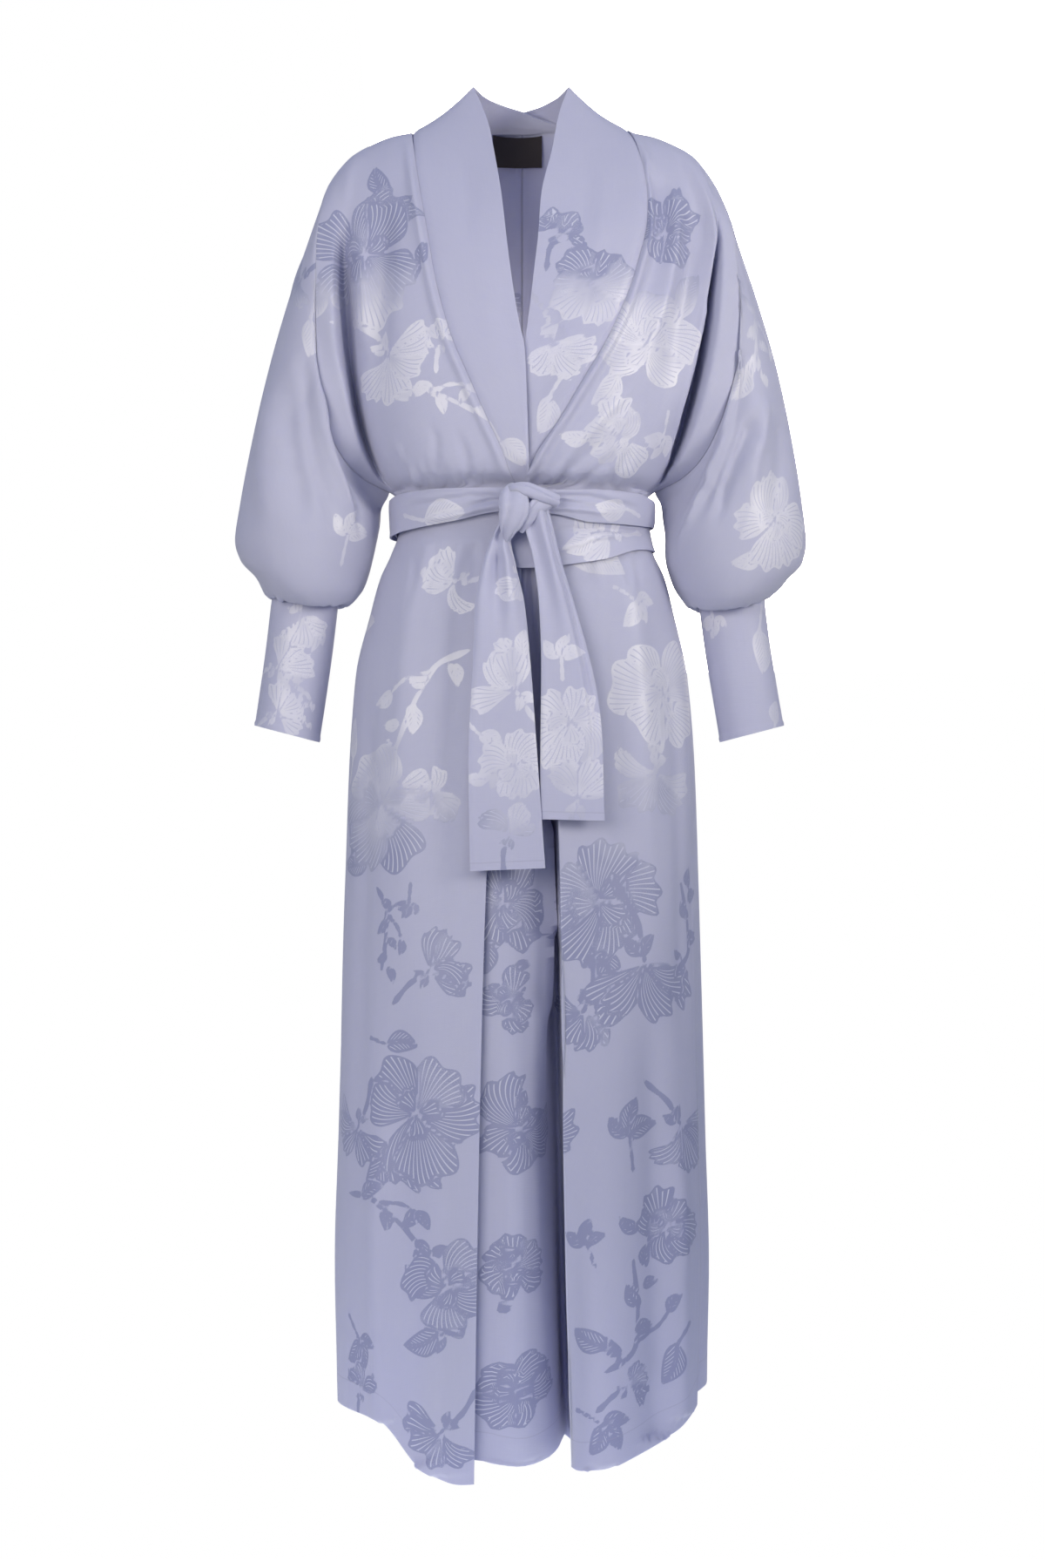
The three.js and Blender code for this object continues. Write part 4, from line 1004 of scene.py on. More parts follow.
def mesh_object(name: str, points: Array, quads: Array) -> bpy.types.Object:
    """A smooth-shaded mesh of four-sided faces, with hard creases kept sharp.

    Args:
        name: Name of the piece.
        points: Places in metres, (count, 3).
        quads: Corner numbers, (faces, 4).

    Returns:
        The new object, linked to the scene.
    """
    mesh = bpy.data.meshes.new(name)
    mesh.vertices.add(len(points))
    mesh.vertices.foreach_set("co", points.astype(np.float32).ravel())
    mesh.loops.add(quads.size)
    mesh.loops.foreach_set("vertex_index", quads.astype(np.int32).ravel())
    mesh.polygons.add(len(quads))
    mesh.polygons.foreach_set("loop_start", np.arange(0, quads.size, 4, dtype=np.int32))
    mesh.polygons.foreach_set("use_smooth", np.ones(len(quads), bool))
    mesh.update(calc_edges=True)
    mesh.set_sharp_from_angle(angle=math.radians(SHARP_ANGLE))
    made = bpy.data.objects.new(name, mesh)
    bpy.context.scene.collection.objects.link(made)
    return made


# ----------------------------------- flowers ------------------------------------------


class Figure(Enum):
    """Kinds of woven figure."""

    BLOOM = "open blossom"
    FAN = "blossom from the side"
    LEAF = "single leaf"
    TWIG = "twig with leaves"
    SPRIG = "three small leaves"


@dataclass(frozen=True)
class Motif:
    """One woven figure: its middle in (x, z), the way it points in degrees from up, its size."""

    kind: Figure
    x: float
    z: float
    heading: float
    size: float
    behind: bool = False


@dataclass(frozen=True)
class Patch:
    """Points round a figure's middle: their numbers, and how far ahead and aside they lie."""

    near: Array
    ahead: Array
    aside: Array


@dataclass
class Weaving:
    """Flowers woven into one sheet, as edge distance, vein count and tone at each point."""

    sheet: Sheet
    seed: int
    gap: float = 0.6
    petal_vein: float = 5.4
    leaf_vein: float = 3.8
    edge: Array = field(init=False)
    vein: Array = field(init=False)
    tone: Array = field(init=False)

    def __post_init__(self) -> None:
        """Starts with plain cloth."""
        self.points = self.sheet.grid.reshape(-1, 3)
        self.normals = self.sheet.directions().reshape(-1, 3)
        rise = -np.gradient(self.sheet.grid, axis=1).reshape(-1, 3)
        self.warp = unit(rise)
        self.edge = np.full(len(self.points), NO_FIGURE)
        self.vein = np.zeros(len(self.points))
        self.tone = np.zeros(len(self.points))
        self.dice = np.random.default_rng(self.seed)

    def spread(self, motif: Motif, reach: float) -> Patch:
        """Flat places round a motif's middle.

        Args:
            motif: The figure.
            reach: How far from the middle points count.

        Returns:
            The points within reach, with their places along the cloth.
        """
        facing = self.normals[:, 1] if motif.behind else -self.normals[:, 1]
        front = self.points[:, 1] if motif.behind else -self.points[:, 1]
        gap = (self.points[:, 0] - motif.x) ** 2 + (self.points[:, 2] - motif.z) ** 2
        middle = np.argmin(gap - 2 * front + np.where(facing > 0, 0, 4000))
        normal, up = self.normals[middle], self.warp[middle]
        up = unit(up - normal * (up @ normal))
        right = np.cross(up, normal)
        off = self.points - self.points[middle]
        length = np.linalg.norm(off, axis=1)
        near = np.flatnonzero((length < reach) & (self.normals @ normal > -0.3))
        a, b = off[near] @ right, off[near] @ up
        scale = np.clip(length[near] / np.maximum(np.hypot(a, b), 1e-6), 1, 1.7)
        a, b = a * scale, b * scale
        turn = math.radians(motif.heading)
        ahead = b * math.cos(turn) + a * math.sin(turn)
        return Patch(near, ahead, a * math.cos(turn) - b * math.sin(turn))

    def lay(self, near: Array, edge: Array, vein: Array, tone: float) -> None:
        """Lays one shape over what is there."""
        inside = edge > 0
        old = self.edge[near]
        outside = np.where(old > 0, np.minimum(old, -edge - self.gap), np.maximum(old, edge))
        self.edge[near] = np.where(inside, edge, outside)
        self.vein[near] = np.where(inside, vein, self.vein[near])
        self.tone[near] = np.where(inside, tone, self.tone[near])

    def petal(self, patch: Patch, turn: float, spread: float, size: float) -> None:
        """One fan-shaped petal from the middle outwards, with veins that fan out too."""
        dice = self.dice
        reach = np.hypot(patch.ahead, patch.aside)
        swirl = dice.normal(0, 0.38)
        angle = np.arctan2(patch.aside, patch.ahead) - turn - swirl * (reach / size) ** 1.4
        angle = (angle + math.pi) % (2 * math.pi) - math.pi
        share = angle / spread
        lobes = dice.integers(2, 5)
        scallop = 0.055 * np.cos(share * math.pi * lobes + dice.uniform(0, 6))
        rim = size * (1 - 0.1 * share**2 + scallop)
        wide = spread * (0.78 + 0.22 * np.clip(reach / size, 0, 1))
        beside = reach * (wide - np.abs(angle))
        end = rim - reach
        corner = 0.3 * size
        p, q = np.maximum(corner - end, 0), np.maximum(corner - beside, 0)
        edge = np.minimum(np.minimum(end, beside), corner - np.hypot(p, q))
        lines = max(5, round(2 * spread * size * 0.8 / self.petal_vein))
        vein = share * lines / 2 + 0.35 * np.sin(reach / size * 5 + dice.uniform(0, 6))
        self.lay(patch.near, edge, vein, float(dice.uniform(0, 1)))

    def leaf(self, patch: Patch, start: tuple[float, float], turn: float, size: float,
             plump: float = 0.29) -> None:
        """One pointed leaf with a midrib and slanting veins."""
        a, b = patch.ahead - start[0], patch.aside - start[1]
        run = a * math.cos(turn) + b * math.sin(turn)
        off = b * math.cos(turn) - a * math.sin(turn) + 0.12 * size * np.sin(run / size * math.pi)
        share = np.clip(run / size, 0, 1)
        half = plump * size * np.sin(math.pi * share**0.75) ** 0.8
        past = np.maximum(np.maximum(-run, run - size), 0)
        edge = np.minimum((half - np.abs(off)) * 0.85, np.where(past > 0, -past, 50))
        edge = np.where(edge > 0.5, np.minimum(edge, np.abs(off) + 0.1), edge)
        vein = (run * 0.75 - np.abs(off)) / self.leaf_vein
        self.lay(patch.near, edge, vein, float(self.dice.uniform(0, 0.6)))

    def stem(self, patch: Patch, route: Route, thick: float) -> None:
        """A thin, slightly knotty stem along a route of (ahead, aside) points."""
        legs = np.array(route, float)
        at = np.linspace(0, 1, 16)
        knots = np.linspace(0, 1, len(legs))
        line = np.stack([curve(knots, legs[:, 0], at), curve(knots, legs[:, 1], at)], -1)
        spot = np.stack([patch.ahead, patch.aside], -1)
        run = np.diff(line, axis=0)
        to = spot[:, None] - line[:-1][None]
        t = np.clip((to * run).sum(-1) / np.maximum((run**2).sum(-1), 1e-6), 0, 1)
        gap = np.linalg.norm(to - t[..., None] * run, axis=-1)
        best = gap.argmin(1)
        rows = np.arange(len(patch.near))
        place = (best + t[rows, best]) / len(run)
        taper = np.sqrt(np.clip(place / 0.12, 0.05, 1))
        half = thick * (1.1 - 0.3 * place) * (1 + 0.14 * np.sin(place * 17)) * taper
        self.lay(patch.near, half - gap[rows, best], 0 * place + 0.5, 0.2)

    def bloom(self, patch: Patch, size: float) -> None:
        """An open blossom: six broad petals, three small ones over them and one leaf."""
        dice = self.dice
        self.leaf(patch, (-size * 0.7, 0), math.pi + dice.normal(0, 0.5), size * 0.7)
        for k in dice.permutation(6):
            turn = math.radians(60 * k) + dice.normal(0, 0.1)
            self.petal(patch, turn, dice.uniform(0.6, 0.78), size * dice.uniform(0.74, 1.08))
        for k in dice.permutation(3):
            turn = math.radians(120 * k + 30) + dice.normal(0, 0.25)
            self.petal(patch, turn, dice.uniform(0.5, 0.7), size * dice.uniform(0.34, 0.5))

    def fan(self, patch: Patch, size: float) -> None:
        """A blossom from the side, on its stem between two leaves."""
        dice = self.dice
        route = ((-1.3 * size, 0.25 * size), (-0.5 * size, 0), (0, 0))
        self.stem(patch, route, size * 0.02 + 2.4)
        for turn in (-1.15, 1.1, -0.6, 0.62, 0.02):
            reach = size * dice.uniform(0.8, 1.05)
            self.petal(patch, turn + dice.normal(0, 0.08), dice.uniform(0.42, 0.56), reach)
        self.leaf(patch, (-size * 0.12, 0), math.pi * 0.8, size * 0.42)
        self.leaf(patch, (-size * 0.12, 0), -math.pi * 0.78, size * 0.36)

    def lone_leaf(self, patch: Patch, size: float) -> None:
        """A single leaf on its stalk."""
        self.stem(patch, ((-size * 1.2, -size * 0.2), (-size * 0.45, 0)), 2.6)
        self.leaf(patch, (-size * 0.5, 0), 0, size * 1.15, 0.32)

    def twig(self, patch: Patch, size: float) -> None:
        """A bent twig with a side shoot and leaves on both sides."""
        dice = self.dice
        bend = dice.uniform(0.2, 0.4) * size * dice.choice((-1, 1))
        route = ((-size, 0), (-0.4 * size, bend), (0.2 * size, bend * 0.6), (size, -bend * 0.4))
        self.stem(patch, route, size * 0.02 + 2.4)
        shoot = ((-0.3 * size, bend), (0.1 * size, bend * 2), (0.35 * size, bend * 2.2))
        self.stem(patch, shoot, 2.7)
        for k, place in enumerate((-0.62, -0.15, 0.3, 0.62, 0.95)):
            way = 1 if k % 2 else -1
            start = (place * size, bend * (0.8 - 0.5 * abs(place)))
            turn = way * dice.uniform(0.6, 1.15) * (1 if k < 4 else 0.2)
            self.leaf(patch, start, turn, size * dice.uniform(0.36, 0.52), 0.3)
        self.leaf(patch, (0.35 * size, bend * 2.2), 0.3, size * 0.45, 0.3)

    def sprig(self, patch: Patch, size: float) -> None:
        """Three small leaves on one stalk."""
        for turn in (-1.0, 0.1, 1.1):
            self.leaf(patch, (0, 0), turn, size * self.dice.uniform(0.85, 1.15), 0.3)
        self.stem(patch, ((-size, 0.3 * size), (0, 0)), 2.6)

    def weave(self, motif: Motif) -> None:
        """Lays one whole figure."""
        draw = {
            Figure.BLOOM: self.bloom, Figure.FAN: self.fan, Figure.LEAF: self.lone_leaf,
            Figure.TWIG: self.twig, Figure.SPRIG: self.sprig,
        }
        patch = self.spread(motif, 2.1 * motif.size)
        if len(patch.near):
            draw[motif.kind](patch, motif.size)

    def trait(self) -> Array:
        """Edge distance in millimetres, vein count and tone at each point."""
        shape = (*self.sheet.grid.shape[:2], 3)
        return np.stack([self.edge, self.vein, self.tone], -1).reshape(shape)


# ---------------------------------- materials -----------------------------------------


class Wire:
    """One number in a material; its operators add Math nodes."""

    def __init__(self, paint: "Paint", socket: bpy.types.NodeSocket) -> None:
        """Wraps the output socket of a node in `paint`."""
        self.paint = paint
        self.socket = socket

    def __add__(self, other: "Wire | float") -> "Wire":
        """Sum."""
        return self.paint.math("ADD", self, other)

    __radd__ = __add__

    def __sub__(self, other: "Wire | float") -> "Wire":
        """Difference."""
        return self.paint.math("SUBTRACT", self, other)

    def __rsub__(self, other: float) -> "Wire":
        """Difference from a number."""
        return self.paint.math("SUBTRACT", other, self)

    def __mul__(self, other: "Wire | float") -> "Wire":
        """Product."""
        return self.paint.math("MULTIPLY", self, other)

    __rmul__ = __mul__

    def __truediv__(self, other: "Wire | float") -> "Wire":
        """Quotient."""
        return self.paint.math("DIVIDE", self, other)

    def clamp(self) -> "Wire":
        """The value held between 0 and 1."""
        return self.paint.math("MAXIMUM", self.paint.math("MINIMUM", self, 1.0), 0.0)

    def triangle(self) -> "Wire":
        """Distance from the middle of each whole step, as 0 in the middle and 1 at its ends."""
        return self.paint.math("ABSOLUTE", self.paint.math("FRACT", self) - 0.5) * 2


class Nodes:
    """A node tree under construction."""

    def __init__(self, tree: bpy.types.NodeTree) -> None:
        """Starts with an empty tree."""
        self.tree = tree
        tree.nodes.clear()

    def node(self, kind: str, settings: dict | None = None, values: dict | None = None) -> bpy.types.Node:
        """Adds one node.

        Args:
            kind: Node type.
            settings: Properties of the node, set first.
            values: Numbers, colours or links by socket identifier.

        Returns:
            The node.
        """
        made = self.tree.nodes.new(kind)
        for key, value in (settings or {}).items():
            setattr(made, key, value)
        for key, value in (values or {}).items():
            target = next(s for s in made.inputs if s.identifier == key)
            source = value.socket if isinstance(value, Wire) else value
            if isinstance(source, bpy.types.NodeSocket):
                self.tree.links.new(source, target)
            else:
                target.default_value = source
        return made


class Paint(Nodes):
    """A material under construction."""

    def __init__(self, name: str) -> None:
        """Starts an empty node material."""
        self.material = bpy.data.materials.new(name)
        self.material.use_nodes = True
        super().__init__(self.material.node_tree)

    def math(self, operation: str, first: "Wire | float", second: "Wire | float" = 0.0) -> Wire:
        """One Math node."""
        values = {"Value": first, "Value_001": second}
        return Wire(self, self.node("ShaderNodeMath", {"operation": operation}, values).outputs[0])

    def trait(self, name: str) -> tuple[Wire, Wire, Wire]:
        """The three numbers of a trait stored on the mesh."""
        source = self.node("ShaderNodeAttribute", {"attribute_name": name}).outputs["Vector"]
        parts = self.node("ShaderNodeSeparateXYZ", values={"Vector": source})
        x, y, z = (Wire(self, parts.outputs[k]) for k in range(3))
        return x, y, z

    def noise(self, x: Wire, y: Wire, scale: float, detail: float = 2.0) -> Wire:
        """Cloudy noise over two cloth coordinates."""
        where = self.node("ShaderNodeCombineXYZ", values={"X": x, "Y": y}).outputs[0]
        values = {"Vector": where, "Scale": scale, "Detail": detail}
        return Wire(self, self.node("ShaderNodeTexNoise", values=values).outputs[0])

    def blend(self, first: object, second: object, share: "Wire | float") -> bpy.types.NodeSocket:
        """One colour mixed into another."""
        settings = {"data_type": "RGBA"}
        values = {"Factor_Float": share, "A_Color": first, "B_Color": second}
        made = self.node("ShaderNodeMix", settings, values)
        return next(s for s in made.outputs if s.identifier == "Result_Color")

    def finish(self, values: dict) -> bpy.types.Material:
        """Ends the material in one main shader with these socket values."""
        shader = self.node("ShaderNodeBsdfPrincipled", values=values).outputs[0]
        self.node("ShaderNodeOutputMaterial", values={"Surface": shader})
        return self.material


Colour = tuple[float, float, float, float]


@dataclass(frozen=True)
class Jacquard:
    """Pale crepe ground with satin flowers whose colour holds painted sheen, lighter in a band of height and
    darker above and below it.
    """

    ground: Colour = (0.47, 0.485, 0.64, 1)
    ground_deep: Colour = (0.42, 0.435, 0.6, 1)
    # The satin colours come in lit and shaded copies: painted highlight where the flowers lie in the band of
    # painted sheen, painted shade away from it, and veins to match.
    bright: Colour = (0.637, 0.646, 0.749, 1)
    bright_vein: Colour = (0.45, 0.465, 0.63, 1)
    dull: Colour = (0.265, 0.285, 0.45, 1)
    dull_vein: Colour = (0.57, 0.59, 0.72, 1)
    thread: Colour = (0.33, 0.34, 0.48, 1)
    roughness: float = 0.56
    satin_roughness: float = 0.36
    hem_height: float = 30.0

    def make(self) -> bpy.types.Material:
        """Builds the material."""
        paint = Paint("flowered_jacquard")
        # The cloth trait's third number is the band of painted sheen by height.
        u, v, painted_sheen_zone = paint.trait("cloth")
        edge, vein, tone = paint.trait("motif")
        hem, seam, _ = paint.trait("making")
        slub = paint.noise(u * 0.05, v * 1.5, 1.0, 3.0)
        streak = paint.noise(u * 1.1, v * 0.03, 1.0, 2.0)
        grain = paint.noise(u, v, 0.85, 2.0)
        cloud = paint.noise(u, v, 0.018, 2.0)
        flower = ((edge - 0.4 + (grain - 0.5) * 1.2) / 0.7 + 0.5).clamp()
        line = ((vein.triangle() - 0.7) / 0.18).clamp() * ((edge - 2.4) / 1.0).clamp()
        speckle = ((grain - 0.5) * 6 + 0.1).clamp() * ((tone - 0.5) * 4).clamp() * flower
        # Painted sheen on the satin: the band of height, with random patches and each petal's random tone,
        # picks between the painted highlight and painted shade colours.
        painted_sheen_and_tone = (painted_sheen_zone * 1.1 - 0.1 + (cloud - 0.5) * 1.1 + (tone - 0.5) * 0.4).clamp()
        base = paint.blend(self.ground, self.ground_deep, (slub * 0.8 + streak * 0.5 - 0.25).clamp())
        figure = paint.blend(self.dull, self.bright, painted_sheen_and_tone)
        veins = paint.blend(self.dull_vein, self.bright_vein, painted_sheen_and_tone)
        colour = paint.blend(base, figure, flower * 0.9)
        colour = paint.blend(colour, base, speckle * 0.55)
        colour = paint.blend(colour, veins, line * flower * 0.95)
        stitch = (1 - paint.math("ABSOLUTE", hem - self.hem_height) / 0.9).clamp() * 0.5
        stitch = stitch + (1 - seam / 1.1).clamp() * 0.6
        colour = paint.blend(colour, self.thread, stitch.clamp())
        weft = (v / 0.55).triangle()
        warp = (u / 0.5).triangle()
        relief = flower * 0.3 - line * flower * 0.35 + slub * 0.35 + grain * 0.15
        relief = relief + (weft * 0.12 + warp * 0.08) * (1 - flower) - stitch * 0.6
        values = {"Strength": 0.6, "Distance": 0.0006, "Height": relief}
        bump = paint.node("ShaderNodeBump", values=values).outputs[0]
        rough = self.roughness - flower * (self.roughness - self.satin_roughness) + slub * 0.06 + line * 0.1
        shader = {"Base Color": colour, "Roughness": rough, "Normal": bump}
        shader |= {"Sheen Weight": 0.15, "Sheen Roughness": 0.5, "Specular IOR Level": 0.45}
        shader |= {"Subsurface Weight": 0.4, "Subsurface Scale": 0.004}
        shader |= {"Subsurface Radius": (0.75, 0.75, 1.0)}
        return paint.finish(shader)


@dataclass(frozen=True)
class LabelWeave:
    """Dense dark taffeta of the sewn-in label."""

    dark: Colour = (0.018, 0.012, 0.014, 1)
    pale: Colour = (0.034, 0.026, 0.03, 1)

    def make(self) -> bpy.types.Material:
        """Builds the material."""
        paint = Paint("label_taffeta")
        u, v, _ = paint.trait("cloth")
        rib = (v / 0.45).triangle()
        slub = paint.noise(u * 0.2, v * 2.0, 1.0, 2.0)
        colour = paint.blend(self.dark, self.pale, (rib * 0.4 + slub * 0.5).clamp())
        values = {"Strength": 0.5, "Distance": 0.0004, "Height": rib * 0.5 + slub}
        bump = paint.node("ShaderNodeBump", values=values).outputs[0]
        return paint.finish({"Base Color": colour, "Roughness": slub * 0.2 + 0.6, "Normal": bump})


# ------------------------------------ pieces ------------------------------------------


@dataclass
class Cut:
    """The flat size that a piece is cut to, in metres, and how it is held."""

    width: float
    length: float
    held: str
    area: float | None = None


def dress(made: bpy.types.Object, node: str, finish: bpy.types.Material) -> None:
    """Gives a piece its material, hangs it on the frame's body and hides the CAD node that it stands for.

    Args:
        made: The finished piece.
        node: Name of the CAD node that it replaces.
        finish: Its material.
    """
    made.data.materials.append(finish)
    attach(made, BODY)
    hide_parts(node)
    LOG.info("%s: %d faces", node, len(made.data.polygons))


@dataclass
class Maker:
    """Turns sheets into finished pieces of the robe."""

    cloth: bpy.types.Material

    def piece(self, name: str, sheet: Sheet, wall: float, cut: Cut, motifs: tuple[Motif, ...],
              seed: int, hem: Array | None = None, seam: Array | None = None,
              rests_on: tuple[str, ...] = (), tucks: tuple[Tuck, ...] = ()) -> bpy.types.Object:
        """Makes one piece, weaves its flowers and dresses it.

        Args:
            name: Name of the piece and of the node that it stands for.
            sheet: Its outer face.
            wall: Thickness of the cloth.
            cut: Its flat size; not used.
            motifs: Flowers woven into it.
            seed: Seed of the flowers' small differences.
            hem: Distance of each point from its hem edge.
            seam: Distance of each point from its nearest sewn edge.
            rests_on: What carries it; not used.
            tucks: Seam allowances that go in under its neighbours.

        Returns:
            The finished object.
        """
        weaving = Weaving(sheet, seed)
        for motif in motifs:
            weaving.weave(motif)
        z = sheet.grid[..., 2]
        # Painted sheen: the satin flowers are painted lighter in this band of height, as if catching the
        # light, and darker above and below it.
        lit = ease((PAINTED_SHEEN_FROM - z) / 90) * ease((z - PAINTED_SHEEN_TO) / 190)
        far = np.full(z.shape, FAR)
        making = np.stack([far if hem is None else hem, far if seam is None else seam, 0 * z], -1)
        traits = {
            "cloth": np.stack([sheet.across(), sheet.down(), lit], -1),
            "motif": weaving.trait(),
            "making": making,
        }
        for tuck in tucks:
            traits = {key: tuck.stretch(values) for key, values in traits.items()}
            tuck.lengthen(sheet)
        made = Shell(f"{name}_cloth", sheet, wall).make(traits)
        dress(made, name, self.cloth)
        return made


B, F, L, T, S = Figure.BLOOM, Figure.FAN, Figure.LEAF, Figure.TWIG, Figure.SPRIG


